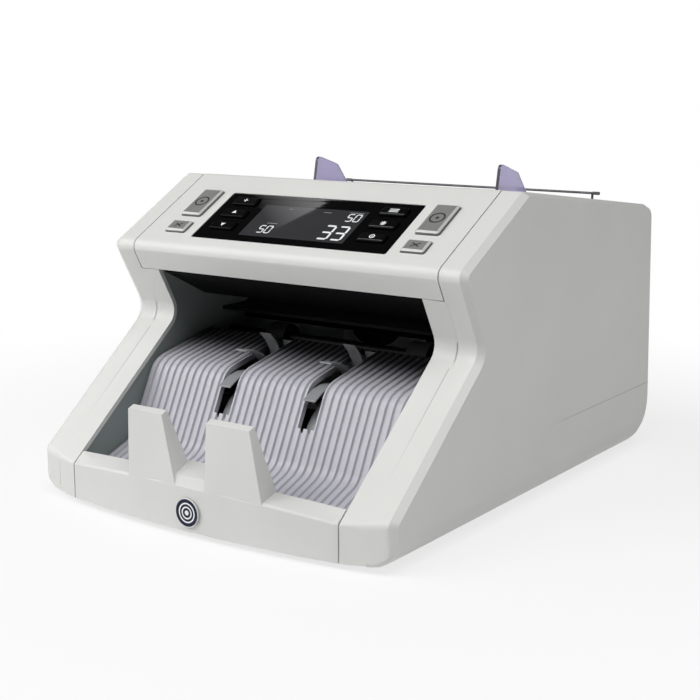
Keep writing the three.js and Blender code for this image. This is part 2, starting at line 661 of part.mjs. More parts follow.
// Rear cover: a shell over the back with vents and cut-outs for the sockets
const rear = {
  inset: 1.5, roofDrop: 6.8, start: 2.5, upstand: 8, radius: 8, bottomRadius: 20, bottomReach: 28,
  ventCount: 9, ventMargin: 23.7, ventWidth: 3.5, ventLow: 70, ventHigh: 104, ventX: 10,
};
const rearStart = hopperTop.x + rear.start;
const rearTopY = rearY(roofEnd.y) - rear.inset;
const rearCorner = point(rearTopY, roofZ(rearTopY) - rear.roofDrop);
const rearBottom = point(rearY(0) - rear.inset, gap);
const rearLine = [
  corner(point(rearStart, roofZ(rearStart) - rear.roofDrop - rear.upstand)),
  corner(point(rearStart, roofZ(rearStart) - rear.roofDrop), wall + gap),
  corner(rearCorner, rear.radius),
  corner(rearBottom, rear.bottomRadius),
  corner(point(rearBottom.x - rear.bottomReach, gap)),
];

// The rear face's frame: X across, Y out of the face, Z up it
const rearFace = new THREE.Group();
const socketHeight = 32;
rearFace.position.set(0, rearY(socketHeight) - rear.inset, socketHeight);
rearFace.rotation.x = rearLean;
rearFace.updateMatrix();
counter.add(rearFace);

const inletInset = 49.7;
const portInset = 47.7;
const rockerInset = 8.5;
const inlet = {
  x: coverHalf - inletInset, width: 48, height: 27, depth: 20, flange: 1.6, spread: 2,
  socketWidth: 24, socketHeight: 17,
};
const rocker = {
  x: inlet.x - inlet.width / 2 + rockerInset, width: 11, height: 19, depth: 6, proud: 1.4,
  swing: 9 * degrees, clear: 0.5,
};
const port = { x: portInset - coverHalf, width: 14, height: 12, depth: 14, wall: 1.6 };

function rearCover() {
  const skin = across(strip(rearLine, -wall), -coverHalf, coverHalf);
  const ventPitch = (coverHalf - rear.ventMargin - rear.ventX) / (rear.ventCount - 1);
  const vents = [];
  for (let index = 0; index < rear.ventCount; index += 1) {
    for (const [, side] of sides) {
      const x = side * (rear.ventX + index * ventPitch);
      vents.push(block(x - rear.ventWidth / 2, rearTopY - overrun, rear.ventLow,
        x + rear.ventWidth / 2, rearY(0) + overrun, rear.ventHigh, rear.ventWidth / 3));
    }
  }
  const holeFor = ({ x, width: w, height: h }) => moved(
    block(x - w / 2 - gap, -overrun, -h / 2 - gap, x + w / 2 + gap, overrun, h / 2 + gap), rearFace.matrix);
  return cut(skin, ...vents, holeFor(inlet), holeFor(port));
}

piece('rear_cover', 'shell', rearCover());

function powerInlet() {
  const { x, width: w, height: h, depth, flange, spread, socketWidth, socketHeight: sh } = inlet;
  const body = join(
    block(x - w / 2, -depth, -h / 2, x + w / 2, flange / 2, h / 2),
    block(x - w / 2 - spread, gap, -h / 2 - spread, x + w / 2 + spread, flange, h / 2 + spread));
  const socketX = x + w / 2 - socketWidth / 2 - spread;
  const socket = block(socketX - socketWidth / 2, -depth + wall, -sh / 2,
    socketX + socketWidth / 2, overrun, sh / 2);
  const pins = [-1, 0, 1].map((place) => block(
    socketX + place * socketWidth / 4 - wall / 4, -depth + wall / 2, (place === 0 ? 1 : 0) * spread - spread,
    socketX + place * socketWidth / 4 + wall / 4, -spread, (place === 0 ? 1 : 0) * spread + spread));
  const { x: rx, width: rw, height: rh, depth: rd, clear } = rocker;
  const well = block(rx - rw / 2 - clear, -rd - clear * 3, -rh / 2 - clear,
    rx + rw / 2 + clear, overrun, rh / 2 + clear);
  return join(cut(body, socket, well), ...pins);
}

piece('power_inlet', 'darkPlastic', powerInlet(), rearFace);

function powerRocker() {
  const { width: w, height: h, depth, proud, swing } = rocker;
  const lift = Math.tan(swing) * (h / 2);
  const outline = [
    point(-depth + lift, -h / 2 + lift), point(-depth + lift, h / 2 - lift),
    point(inlet.flange / 2, h / 2 - gap), point(inlet.flange + proud, h / 2 - gap),
    point(inlet.flange, 0), point(inlet.flange + proud / 4, -h / 2 + gap), point(-proud / 4, -h / 2 + gap),
  ].reverse();
  return across(outline, -w / 2, w / 2);
}

piece('power_rocker', 'keyBlack', powerRocker(), rearFace).position.x = rocker.x;

function displayPort() {
  const { x, width: w, height: h, depth, wall: skin } = port;
  const body = block(x - w / 2, -depth, -h / 2, x + w / 2, 0, h / 2);
  const hollow = block(x - w / 2 + skin, -depth + skin, -h / 2 + skin,
    x + w / 2 - skin, overrun, h / 2 - skin);
  return cut(body, hollow);
}

piece('display_port', 'darkPlastic', displayPort(), rearFace);

// Base plate with bosses for the boards, and four rubber feet
const base = { thickness: 2.6, front: 10.5, bossHeight: 5, bossRadius: 3, bossRoot: 1.3 };
const baseEnd = rearBottom.x - rear.bottomReach - gap;
const feet = { radius: 9, tip: 7.5, height: 6, insetX: 21.7, insetY: 14 };
const boards = {
  inset: 5.3, length: 50, rearInset: 13.6, boardShare: 0.545, supplyShare: 0.375, supplyHeight: 34,
};
const boardsRear = baseEnd - boards.rearInset;
const boardHalf = frameHalf - boards.inset;
const boardBox = {
  x1: -boardHalf, x2: -boardHalf + 2 * boardHalf * boards.boardShare,
  y1: boardsRear - boards.length, y2: boardsRear,
  thickness: 1.6, inset: 6, chip: 12, chipHeight: 9, chipPitch: 36,
};

function basePlate() {
  const plate = block(-coverHalf, base.front, 0, coverHalf, baseEnd, base.thickness);
  const bosses = [boardBox.x1 + boardBox.inset, boardBox.x2 - boardBox.inset].flatMap((x) =>
    [boardBox.y1 + boardBox.inset, boardBox.y2 - boardBox.inset].map((y) => {
      const height = base.bossHeight + base.bossRoot;
      const boss = new THREE.CylinderGeometry(base.bossRadius, base.bossRadius, height, smallSides);
      return moved(toSolid(boss.rotateX(quarter)),
        shift(x, y, base.thickness + (base.bossHeight - base.bossRoot) / 2));
    }));
  return join(plate, ...bosses);
}

piece('base_plate', 'chassis', basePlate());

for (const [name, side] of sides) {
  for (const [row, y] of [['front', base.front + feet.insetY], ['rear', baseEnd - feet.insetY]]) {
    const foot = new THREE.CylinderGeometry(feet.radius, feet.tip, feet.height - gap, roundSides);
    piece(`${row}_${name}_foot`, 'rubber', toSolid(foot.rotateX(quarter)))
      .position.set(side * (coverHalf - feet.insetX), y, -(feet.height + gap) / 2);
  }
}

// Shaft places, all worked out from the hopper and the stacker plate
const feedAxis = onHopper(feed.s, feed.proud - feed.radius);
const pickAxis = onHopper(pick.s, pick.proud - pick.radius);
const retardAxis = onHopper(feed.s, feed.proud + retard.radius + gap * 1.5);
const exit = { radius: 9, width: 14, x: rollerShares.exit * frameHalf, shaft: 4, run: 45.5, rise: 26 };
const exitAxis = wheelAxis.clone().add(point(exit.run, exit.rise));
const motor = { radius: 18, length: 50, run: 76.5, drop: 8, shaft: 3, bore: 4, boss: 7 };
const motorAxis = wheelAxis.clone().add(point(motor.run, -motor.drop));
const shaftRadius = 4;
const bearing = 0.15;

// Inner frames: dark side walls of the pocket that also carry the shafts
const frame = {
  front: 0.5, floor: base.thickness + gap, rear: boardsRear, underPanel: 3.6, panelLow: 9, panelHigh: 70,
  rearDrop: 10.4, plateInset: 7.8, rackStart: 27, rackStep: 3,
};

function innerFrame() {
  const front = bent(beside(postLine(pocketHalf), -post.rebate - frame.front))
    .filter((p) => p.y > frame.floor + wall);
  const slopeUnder = beside(sharp(slopeTop, slopeEnd), -slope.thickness - gap * 3).map((c) => c.at);
  const flangeUnder = panelTop.y - cover.rearFlange - gap * 2;
  const outline = [
    ...front.reverse(),
    point(front[front.length - 1].x, frame.floor),
    point(frame.rear, frame.floor),
    point(frame.rear, onHopper(hopperLength - wall, -hopperPlate.thickness - gap).y - frame.rearDrop),
    onHopper(hopperLength - frame.plateInset, -hopperPlate.thickness - gap),
    onHopper(frame.rackStart + frame.rackStep, -hopperPlate.thickness - gap),
    onHopper(frame.rackStart, -guide.rackLow - gap * 2),
    onHopper(0, -guide.rackLow - gap * 2),
    slopeUnder[1],
    point(slopeUnder[0].x, flangeUnder),
    point(panelTop.x - wall, flangeUnder),
    onPanel(frame.panelHigh, -frame.underPanel),
    onPanel(frame.panelLow, -frame.underPanel),
  ];
  const plate = across(outline, frameHalf, frameHalf + post.liner);
  const bores = [
    [feedAxis, shaftRadius], [pickAxis, shaftRadius], [retardAxis, retard.shaft], [exitAxis, shaftRadius],
    [wheelAxis, shaftRadius], [motorAxis, motor.bore],
  ].map(([axis, radius]) => at(
    rod(radius + bearing, frameHalf - overrun, frameHalf + overrun), axis.x, axis.y));
  return cut(plate, ...bores);
}

for (const [name, side] of sides) piece(`${name}_inner_frame`, 'liner', mirrored(innerFrame(), side));

// Hopper side walls, level with the side panels' roof
const hopperWall = { from: hopperPlate.half + gap, thickness: 2.5, roofDrop: 1.2, low: 12 };
const bailInset = 13.6;
const bail = {
  x: seamHalf - bailInset, radius: 0.75, rise: 9.4, legExtra: 1.2, pivotRise: 2.1, back: 9, footReach: 4,
  tipLength: 4.4, tipRadius: 1,
};
const bailPivot = point(
  hopperTop.x + bail.back, roofZ(hopperTop.x + bail.back) - rear.roofDrop + bail.pivotRise);

function hopperSideWall() {
  const rearLow = roofZ(rearStart) - rear.roofDrop + gap;
  const outline = [
    point(slopeTop.x + gap, roofZ(slopeTop.x) - hopperWall.roofDrop),
    point(slopeTop.x + gap, slopeTop.y - hopperWall.low),
    slopeEnd.clone().sub(point(0, hopperWall.low)),
    onHopper(0, -hopperPlate.thickness),
    onHopper(hopperLength - wall * 2, -hopperPlate.thickness),
    point(rearStart - gap, rearLow - rear.upstand / 2),
    point(rearStart - gap, rearLow + gap),
    point(rearTopY - rear.radius, roofZ(rearTopY - rear.radius) - rear.roofDrop + gap * 2),
    point(rearTopY - rear.radius, roofZ(rearTopY - rear.radius) - hopperWall.roofDrop),
  ];
  const plate = across(outline, hopperWall.from, hopperWall.from + hopperWall.thickness);
  const bore = rod(bail.radius + gap, hopperWall.from - overrun, seamHalf);
  return cut(plate, at(bore, bailPivot.x, bailPivot.y));
}

for (const [name, side] of sides) piece(`${name}_hopper_wall`, 'shell', mirrored(hopperSideWall(), side));

// Note rest: a wire bail with dark tips that pivots in the hopper walls
function noteBail() {
  const { x, radius, rise, legExtra, footReach, tipLength, tipRadius } = bail;
  const tipFrom = x + radius / 2;
  const bar = turned([
    { length: tipLength, radius: tipRadius },
    { length: 2 * tipFrom, radius },
    { length: tipLength, radius: tipRadius },
  ], -tipFrom - tipLength, smallSides);
  const legs = sides.flatMap(([, side]) => {
    const leg = new THREE.CylinderGeometry(radius, radius, rise + legExtra, smallSides).rotateX(quarter);
    const footTo = hopperWall.from + footReach / 2;
    return [
      moved(toSolid(leg), shift(side * x, 0, rise / 2)),
      mirrored(rod(radius, x - radius / 2, footTo, smallSides), side),
    ];
  });
  return join(at(bar, 0, rise), ...legs);
}

piece('note_rest_bail', 'steel', noteBail()).position.set(0, bailPivot.x, bailPivot.y);

// Shafts and rollers
const belt = { width: 6, thickness: 1.5, steps: 28, clear: 1.4 };
const beltX = frameHalf + post.liner + belt.clear;
const pulley = { feed: 16, stacker: 14, exit: 8, motor: 10, pick: 6, pickDrive: 6, width: 6.6 };
const shaftEnd = frameHalf + post.liner + gap;

function shaftWith(rollers, radius, pulleys) {
  const bar = rod(radius, -shaftEnd, shaftEnd);
  const lands = rollers.map(({ x, radius: r, width: w }) =>
    rod(r, x - w / 2, x + w / 2, r > wheel.hub ? largeSides : roundSides));
  const drums = pulleys.map(({ side, radius: r }) => mirrored(turned([
    { length: beltX - shaftEnd + gap, radius }, { length: pulley.width, radius: r },
  ], shaftEnd - gap, largeSides), side));
  return join(bar, ...lands, ...drums);
}

const pairOf = ({ x, radius, width: w }) => sides.map(([, side]) => ({ x: side * x, radius, width: w }));
const place = (mesh, axis) => mesh.position.set(0, axis.x, axis.y);

place(piece('feed_roller_shaft', 'rubber', shaftWith(pairOf(feed), shaftRadius, [
  { side: 1, radius: pulley.feed }, { side: -1, radius: pulley.pickDrive },
])), feedAxis);
place(piece('pick_roller_shaft', 'rubber', shaftWith(pairOf(pick), shaftRadius, [
  { side: -1, radius: pulley.pick },
])), pickAxis);
place(piece('exit_roller_shaft', 'rubber', shaftWith(pairOf(exit), shaftRadius, [
  { side: 1, radius: pulley.exit },
])), exitAxis);
const retardRolls = shaftWith(pairOf({ ...retard, x: feed.x }), retard.shaft, []);
place(piece('retard_roller', 'rubber', retardRolls), retardAxis);

// Stacker wheels: swept vanes round a hub that is slid on the shaft
function vanedWheel() {
  const { radius, hub, vanes, vaneThickness, vaneSteps: steps, sweep, width: w } = wheel;
  const outline = [];
  for (let vane = 0; vane < vanes; vane += 1) {
    const root = (vane / vanes) * 2 * Math.PI;
    const edge = (share, side) => {
      const r = hub + (radius - hub) * share;
      const thin = vaneThickness * (1 - share / 3);
      return along(point(0, 0), root + sweep * share + (side * thin) / (2 * r), r);
    };
    for (let step = 0; step <= steps; step += 1) outline.push(edge(step / steps, -1));
    for (let step = steps; step >= 0; step -= 1) outline.push(edge(step / steps, 1));
  }
  const disc = across(outline, -w / 2, w / 2);
  return cut(disc, rod(shaftRadius + gap, -overrun, overrun));
}

for (const [name, side] of sides) {
  const mesh = piece(`${name}_stacker_wheel`, 'wheelGrey', vanedWheel());
  mesh.position.set(side * wheel.x, wheelAxis.x, wheelAxis.y);
}

const stackerShaft = shaftWith([], shaftRadius, [{ side: 1, radius: pulley.stacker }]);
place(piece('stacker_shaft', 'steel', stackerShaft), wheelAxis);

// Guides that lead the notes from the feed rollers to the stacker wheels
const chute = {
  thickness: 2, height: 6.5, lead: 25.4, leadRise: 11, length: 35, angle: 19 * degrees, upperInset: 5,
  exitRun: 22,
};
const chuteRear = feedAxis.clone().add(point(-chute.lead, chute.leadRise));
const chuteFront = along(chuteRear, Math.PI + chute.angle, chute.length);
piece('lower_transport_guide', 'darkPlastic', across(
  strip(sharp(chuteRear, chuteFront), chute.thickness), -frameHalf + gap, frameHalf - gap));
const upperFront = chuteFront.clone().add(point(0, chute.height));
const upperRear = along(upperFront, chute.angle, chute.length - chute.upperInset);
const upperExit = upperFront.clone().sub(point(chute.exitRun, gap));
piece('upper_transport_guide', 'darkPlastic', across(
  strip(sharp(upperRear, upperFront, upperExit), -chute.thickness), -frameHalf + gap, frameHalf - gap));

// Motor, its pulley, and the two belts
function motorCan() {
  const to = frameHalf - gap;
  const can = turned([{ length: motor.length, radius: motor.radius }], to - motor.length, largeSides);
  return cut(can, rod(motor.shaft + gap, to - motor.boss, to + overrun));
}

place(piece('drive_motor', 'steel', motorCan()), motorAxis);
place(piece('motor_pulley', 'steel', turned([
  { length: beltX - frameHalf + motor.boss - gap * 2, radius: motor.shaft },
  { length: pulley.width, radius: pulley.motor },
], frameHalf - motor.boss + gap * 2, largeSides)), motorAxis);

function beltLoop(circles) {
  const spots = circles.flatMap(([centre, radius]) => Array.from({ length: belt.steps }, (_, index) =>
    along(centre, (index / belt.steps) * 2 * Math.PI, radius + gap)));
  spots.sort((a, b) => a.x - b.x || a.y - b.y);
  const half = (list) => {
    const chain = [];
    for (const spot of list) {
      while (chain.length > 1 && chain[chain.length - 1].clone().sub(chain[chain.length - 2])
        .cross(spot.clone().sub(chain[chain.length - 1])) <= 0) chain.pop();
      chain.push(spot);
    }
    return chain.slice(0, -1);
  };
  const inner = [...half(spots), ...half([...spots].reverse())];
  const outer = offsetCorners(sharp(...inner), -belt.thickness).map((c) => c.at);
  const from = beltX + (pulley.width - belt.width) / 2;
  return cut(
    across(outer, from, from + belt.width), across(inner, from - overrun, from + overrun + belt.width));
}

piece('drive_belt', 'rubber', beltLoop([
  [motorAxis, pulley.motor], [feedAxis, pulley.feed], [exitAxis, pulley.exit], [wheelAxis, pulley.stacker],
]));
const pickLoop = beltLoop([[feedAxis, pulley.pickDrive], [pickAxis, pulley.pick]]);
piece('pick_belt', 'rubber', mirrored(pickLoop, -1));

// Boards and power supply on the base
function mainBoard() {
  const { x1, x2, y1, y2, thickness, inset, chip, chipHeight, chipPitch } = boardBox;
  const z = base.thickness + base.bossHeight + gap;
  const plate = block(x1, y1, z, x2, y2, z + thickness);
  const middle = (x1 + x2) / 2;
  const chips = [-1, 1].map((place) => block(
    middle + (place * chipPitch - chip) / 2, y1 + inset, z + thickness / 2,
    middle + (place * chipPitch + chip) / 2, y1 + inset + chip, z + thickness + chipHeight));
  return join(plate, ...chips);
}

piece('main_board', 'board', mainBoard());
piece('power_supply', 'steel', block(
  boardHalf - 2 * boardHalf * boards.supplyShare, boardBox.y1, frame.floor,
  boardHalf, boardBox.y2, boards.supplyHeight, wall));

// The origin is below the middle of the whole machine, at the bottom of its feet
const box = new THREE.Box3().setFromObject(counter);
counter.position.set(0, -(box.min.y + box.max.y) / 2, -box.min.z);

export default counter;
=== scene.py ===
"""A desk banknote counter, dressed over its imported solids: housings, keys, display, hopper and tray."""

import json
import math

import bpy
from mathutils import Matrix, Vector

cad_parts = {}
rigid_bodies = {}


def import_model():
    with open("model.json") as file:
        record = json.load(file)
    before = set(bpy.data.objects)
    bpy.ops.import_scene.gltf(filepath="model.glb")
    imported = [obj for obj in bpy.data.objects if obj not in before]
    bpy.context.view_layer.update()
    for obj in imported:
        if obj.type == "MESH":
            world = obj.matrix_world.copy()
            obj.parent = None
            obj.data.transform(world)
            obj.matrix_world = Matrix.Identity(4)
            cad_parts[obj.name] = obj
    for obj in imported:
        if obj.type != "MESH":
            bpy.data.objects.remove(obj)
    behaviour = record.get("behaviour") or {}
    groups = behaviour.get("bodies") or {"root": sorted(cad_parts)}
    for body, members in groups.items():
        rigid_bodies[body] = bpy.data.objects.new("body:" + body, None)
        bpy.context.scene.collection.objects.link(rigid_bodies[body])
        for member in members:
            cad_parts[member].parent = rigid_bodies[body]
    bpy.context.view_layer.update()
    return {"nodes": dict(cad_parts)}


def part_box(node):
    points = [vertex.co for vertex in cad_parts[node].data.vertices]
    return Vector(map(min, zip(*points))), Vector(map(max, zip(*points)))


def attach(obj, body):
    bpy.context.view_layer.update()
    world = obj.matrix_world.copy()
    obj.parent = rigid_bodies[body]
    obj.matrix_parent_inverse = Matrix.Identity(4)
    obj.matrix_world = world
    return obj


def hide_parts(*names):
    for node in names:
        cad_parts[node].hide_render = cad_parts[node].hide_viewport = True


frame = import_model()

bl_info = {
    "name": "Banknote counter",
    "version": (1, 0, 0),
    "blender": (4, 5, 0),
    "location": "View3D > Sidebar > Counter",
    "description": "Dresses the packed banknote counter: housings, keys, display and inner parts",
    "category": "Object",
}

MM = 0.001
# A point within this distance of a face counts as lying on it.
NEAR = 0.1 * MM
# A face or an edge points along an axis where its direction has more than this of it.
ALONG = 0.9
# Faces that meet at less than this are shaded as one smooth surface.
SMOOTH_UNDER = math.radians(50)
# The two sides of the counter, each with the way that it lies along X.
SIDES = (("left", -1), ("right", 1))
WHITE = (1, 1, 1, 1)


def linear(code):
    """The scene-linear colour of an sRGB hex value such as #DCDCDA."""
    parts = [int(code[i : i + 2], 16) / 255 for i in (1, 3, 5)]
    return [p / 12.92 if p <= 0.04045 else ((p + 0.055) / 1.055) ** 2.4 for p in parts]


def length(label, about, default):
    """A length that a user may change, in metres."""
    return bpy.props.FloatProperty(
        name=label, description=about, default=default, unit="LENGTH", precision=5
    )


def angle(label, about, default):
    """An angle that a user may change, in radians."""
    return bpy.props.FloatProperty(name=label, description=about, default=default, unit="ROTATION")


def amount(label, about, default):
    """A strength, a power or a share that a user may change."""
    return bpy.props.FloatProperty(name=label, description=about, default=default, min=0)


def tint(label, about, code):
    """A colour that a user may change, written as an sRGB hex value."""
    return bpy.props.FloatVectorProperty(
        name=label, description=about, subtype="COLOR", size=3, min=0, max=1, default=linear(code)
    )


class CounterSizes(bpy.types.PropertyGroup):
    """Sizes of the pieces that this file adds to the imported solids."""

    slope: angle("Panel slope", "Angle of the key panel to the table", math.radians(29.2))
    nose_y: length("Nose depth", "Where the key panel's lower edge lies, front to back", -84.68 * MM)
    nose_z: length("Nose height", "Height of the key panel's lower edge", 140.58 * MM)
    housing_round: length("Housing edge", "Round on the housings' moulded edges", 0.7 * MM)
    cover_round: length("Cover edge", "Round on the edges of the covers along their seams", 0.35 * MM)
    sheet_round: length("Sheet edge", "Deburred edge of the inner sheets and small parts", 0.2 * MM)
    post_lap: length("Post lap", "How far a post's end moves out to meet its side panel", 1.55 * MM)
    post_sink: length("Post sink", "How far the lapped end moves back to lie flush", 0.41 * MM)
    toe_depth: length("Toe depth", "How far back a toe's front face and its round reach", 1.2 * MM)
    toe_foot: length("Toe foot", "Height under which a toe's lower corner lies", 4 * MM)
    toe_lift: length("Toe lift", "How far the lapped end's lower corner rises", 1.1 * MM)
    toe_low: length("Toe round's low end", "Under the round from a toe's front to its arm", 23.5 * MM)
    toe_high: length("Toe round's high end", "Over the round from a toe's front to its arm", 26 * MM)
    toe_corner: length("Toe corner", "Height of the point that the round is widened about", 24.83 * MM)
    toe_back: length("Toe back", "Depth of that point, before the panel", 0.275 * MM)
    toe_widened: amount("Toe widened", "How many times its size the toe's round gets", 3)
    lip_reach: length("Lip reach", "Height of the post's upper end that lies under the lip", 4 * MM)
    lip_shadow: length("Lip seam", "Extra gap under the cover's lip", 0.4 * MM)
    cover_shadow: length("Cover seam", "Extra gap along the key panel cover's ends", 0.2 * MM)
    tray_shadow: length("Tray seam", "Extra gap along the tray cover's ends", 0.6 * MM)
    line_core: length("Fine line", "Half the width of a fine line's dark middle", 0.12 * MM)
    joint_edge: length("Joint line edge", "Half the whole width of the arm's joint line", 0.45 * MM)
    joint_place: length("Joint line", "The arm's joint line, from the middle of the counter", 106 * MM)
    joint_low: length("Joint line's low end", "Where the arm's joint line has died out", 35 * MM)
    joint_high: length("Joint line's high end", "Where the arm's joint line is at its darkest", 86 * MM)
    joint_stop: length("Joint line's stop", "Length over which it ends at the crease", 2 * MM)
    # The parting line's dark tone is painted shadow of its tiny step.
    parting_edge: length("Parting line edge", "Half the whole width of the parting line", 0.35 * MM)
    parting_height: length("Parting line height", "Parting line on the side panels", 42.2 * MM)
    parting_start: length("Parting line start", "Where the parting line starts, front to back", 1 * MM)
    parting_full: length("Parting line full", "Where the parting line is at its darkest", 60 * MM)
    # Where the ribs' painted shade starts and where it is full: it stands for the pocket's shadow over
    # their rear end.
    dust_start: length("Dust start", "Where ink dust starts on the ribs, front to back", -80 * MM)
    rib_shade_full: length("Dust full", "Where ink dust covers the ribs", -42 * MM)

    grey_column: length("Grey key column", "Middle of the grey keys, from the panel's", 83.0 * MM)
    start_low: length("Start key's low edge", "Low edge of a start key, up the slope", 31.7 * MM)
    start_width: length("Start key width", "Width of a start key", 14.8 * MM)
    start_height: length("Start key height", "Height of a start key", 26.3 * MM)
    start_proud: length("Start key's rise", "How far a start key stands out", 2 * MM)
    start_ring: length("Start ring", "Radius of the start key's ring", 4.7 * MM)
    start_line: length("Start ring's line", "Width of the start key's ring", 1 * MM)
    start_dot: length("Start dot", "Radius of the start key's dot", 1.1 * MM)
    start_mark: length("Start mark", "Middle of the mark, above the key's low edge", 13.1 * MM)
    clear_low: length("Clear key's low edge", "Low edge of a clear key, up the slope", 15 * MM)
    clear_width: length("Clear key width", "Width of a clear key", 14.6 * MM)
    clear_height: length("Clear key height", "Height of a clear key", 10.2 * MM)
    clear_proud: length("Clear key's rise", "How far a clear key stands out", 1.8 * MM)
    clear_cross: length("Clear cross", "Length of the bars of the clear key's cross", 6 * MM)
    clear_line: length("Clear cross's line", "Width of the bars of the clear key's cross", 0.75 * MM)
    clear_turn: angle("Clear cross's turn", "Slope of the cross's bars", math.radians(32))
    black_column: length("Black key column", "Middle of the black keys, from the panel's", 52.5 * MM)
    black_low: length("Black keys' low edge", "Low edge of the lowest one, up the slope", 21.2 * MM)
    black_pitch: length("Black key pitch", "From one black key to the next", 12.35 * MM)
    black_width: length("Black key width", "Width of a black key", 17.4 * MM)
    black_height: length("Black key height", "Height of a black key", 7.4 * MM)
    black_proud: length("Black key's rise", "How far a black key stands out", 1.3 * MM)
    grey_rim: length("Key rim", "Width of the sloping rim round a grey key", 1.3 * MM)
    black_rim: length("Black key rim", "Width of the sloping rim round a black key", 0.9 * MM)
    grey_edge: length("Grey key edge", "Round on the edges of a grey key", 0.12 * MM)
    black_edge: length("Black key edge", "Round on the edges of a black key", 0.26 * MM)
    rim_slope: amount("Rim slope", "Height of a key's rim as a share of its width", 0.55)
    key_corner: length("Key corner", "Radius of a key cap's corners", 1.2 * MM)
    key_foot: length("Key foot", "How far a key cap goes down under the panel's face", 2.8 * MM)
    key_wall: length("Key wall", "Wall round the hollow under a key cap", 0.6 * MM)
    key_hollow: length("Key hollow", "Depth of the hollow under a key cap", 0.4 * MM)

    glass_face: length("Glass height", "Face of the display glass, out of the key panel", -0.15 * MM)
    window_half: length("Window half width", "Half the width of the display window", 36.6 * MM)
    window_low: length("Window low edge", "Low edge of the display window, up the slope", 17.9 * MM)
    window_high: length("Window high edge", "High edge of the display window, up the slope", 48.4 * MM)
    window_rise: length("Window rise", "Underside of the window's film over the glass", 0.02 * MM)
    window_corner: length("Window corner", "Radius of the window's corners", 0.6 * MM)
    window_edge: length("Window edge", "Round on the edge of the window's film", 0.015 * MM)
    figure_rise: length("Figure rise", "Underside of the lit figures over the glass", 0.08 * MM)
    small_figure: length("Small figures", "Height of the small figures", 6.6 * MM)
    large_figure: length("Large figures", "Height of the large figures", 12.2 * MM)
    mark_height: length("Ink height", "Thickness of the printed marks", 0.05 * MM)
    mark_gap: length("Ink gap", "Gap under the marks on the keys", 0.005 * MM)
    symbol_size: length("Symbol size", "Size of the symbols on the black keys", 3.1 * MM)
    symbol_line: length("Symbol line", "Width of the symbols' lines", 0.6 * MM)
    symbol_pitch: length("Symbol pitch", "From one note to the next in the notes' symbol", 1.2 * MM)

    badge_rim: length("Badge rim", "Width of the badge's raised rim", 0.3 * MM)
    badge_slope: length("Badge slope", "Width of the slope inside the badge's rim", 0.2 * MM)
    badge_depth: length("Badge depth", "Depth of the badge's field under its rim", 0.15 * MM)
    ring_sink: length("Ring sink", "Depth of the rings' face under the badge's field", 0.01 * MM)
    badge_round: length("Badge round", "Round on the badge's edges", 0.1 * MM)

    wire_round: length("Wire round", "Round on the ends of the note rest's wire", 0.1 * MM)
    cap_reach: length("Wire cap reach", "Length of the caps on the note rest's ends", 4.8 * MM)
    cap_depth: length("Wire cap depth", "How far down the caps on the note rest go", 2.2 * MM)
    shaft_steel: length("Bare shaft", "Radius within which a roller shaft is bare steel", 4.6 * MM)
    pulley_start: length("Pulleys' start", "The pulleys lie further from the middle than this", 96 * MM)

    screw_head: length("Screw head", "Width of a cover screw's pan head", 6.2 * MM)
    screw_rise: length("Screw rise", "How far a screw's head stands out", 1.4 * MM)
    screw_round: length("Screw round", "Round on the edge of a screw's head", 0.3 * MM)
    screw_in: length("Screw inset", "A screw's distance from the end of the rear cover", 8.5 * MM)
    low_screw: length("Low screws", "Height of the rear cover's lower screws", 18 * MM)
    high_screw: length("High screws", "Height of the rear cover's upper screws", 134 * MM)
    base_screw: length("Base screws", "The base screws' distance from the counter's middle", 88 * MM)
    rocker_mark: length("Rocker mark", "Length of the marks on the power rocker", 4.2 * MM)
    rocker_bar: length("Rocker bar", "Width of the bar on the power rocker", 0.7 * MM)
    rocker_ring: length("Rocker ring", "Inner radius of the ring on the power rocker", 0.6 * MM)
    rocker_reach: length("Rocker reach", "The rocker marks' distance from its middle", 5 * MM)


class CounterColours(bpy.types.PropertyGroup):
    """Colours of the counter's finishes."""

    housing: tint("Housing", "Moulded housing", "#DEDEDB")
    tray: tint("Tray", "Tray cover", "#DCDCDA")
    ribs: tint("Ribs", "Ribbed stacker plate", "#BFBEC6")
    liner: tint("Liner", "Painted inner frames", "#8C9593")
    dark: tint("Dark plastic", "Moulded inner parts", "#09090A")
    chassis: tint("Chassis", "Powder coated base", "#222325")
    key_grey: tint("Grey key", "Face of the grey keys", "#848583")
    # The grey keys' rim is lighter than their face: painted highlight.
    key_rim: tint("Grey key rim", "Sloping rim of the grey keys", "#C9CAC8")
    key_black: tint("Black key", "Keys on the display glass", "#080809")
    glass: tint("Display glass", "Back-printed display glass", "#060607")
    lcd: tint("Display window", "Window of the display", "#38383B")
    violet: tint("Note guide", "Smoked violet note guides", "#C8C0E6")
    navy: tint("Badge", "Printed badge", "#0F1638")
    ink: tint("White ink", "Printed marks and lit digits", "#F2F4F5")
    dark_ink: tint("Dark ink", "Printed marks on the grey keys", "#2A2B2D")
    rubber: tint("Rubber", "Feet, rollers and belts", "#262627")
    wheel: tint("Wheel", "Vaned stacker wheels", "#8E9092")
    steel: tint("Steel", "Shafts and wire", "#B9BBBD")
    wire: tint("Wire", "Bent wire of the note rest", "#6C6C71")
    board: tint("Circuit board", "Solder mask on the boards", "#1F5A3C")


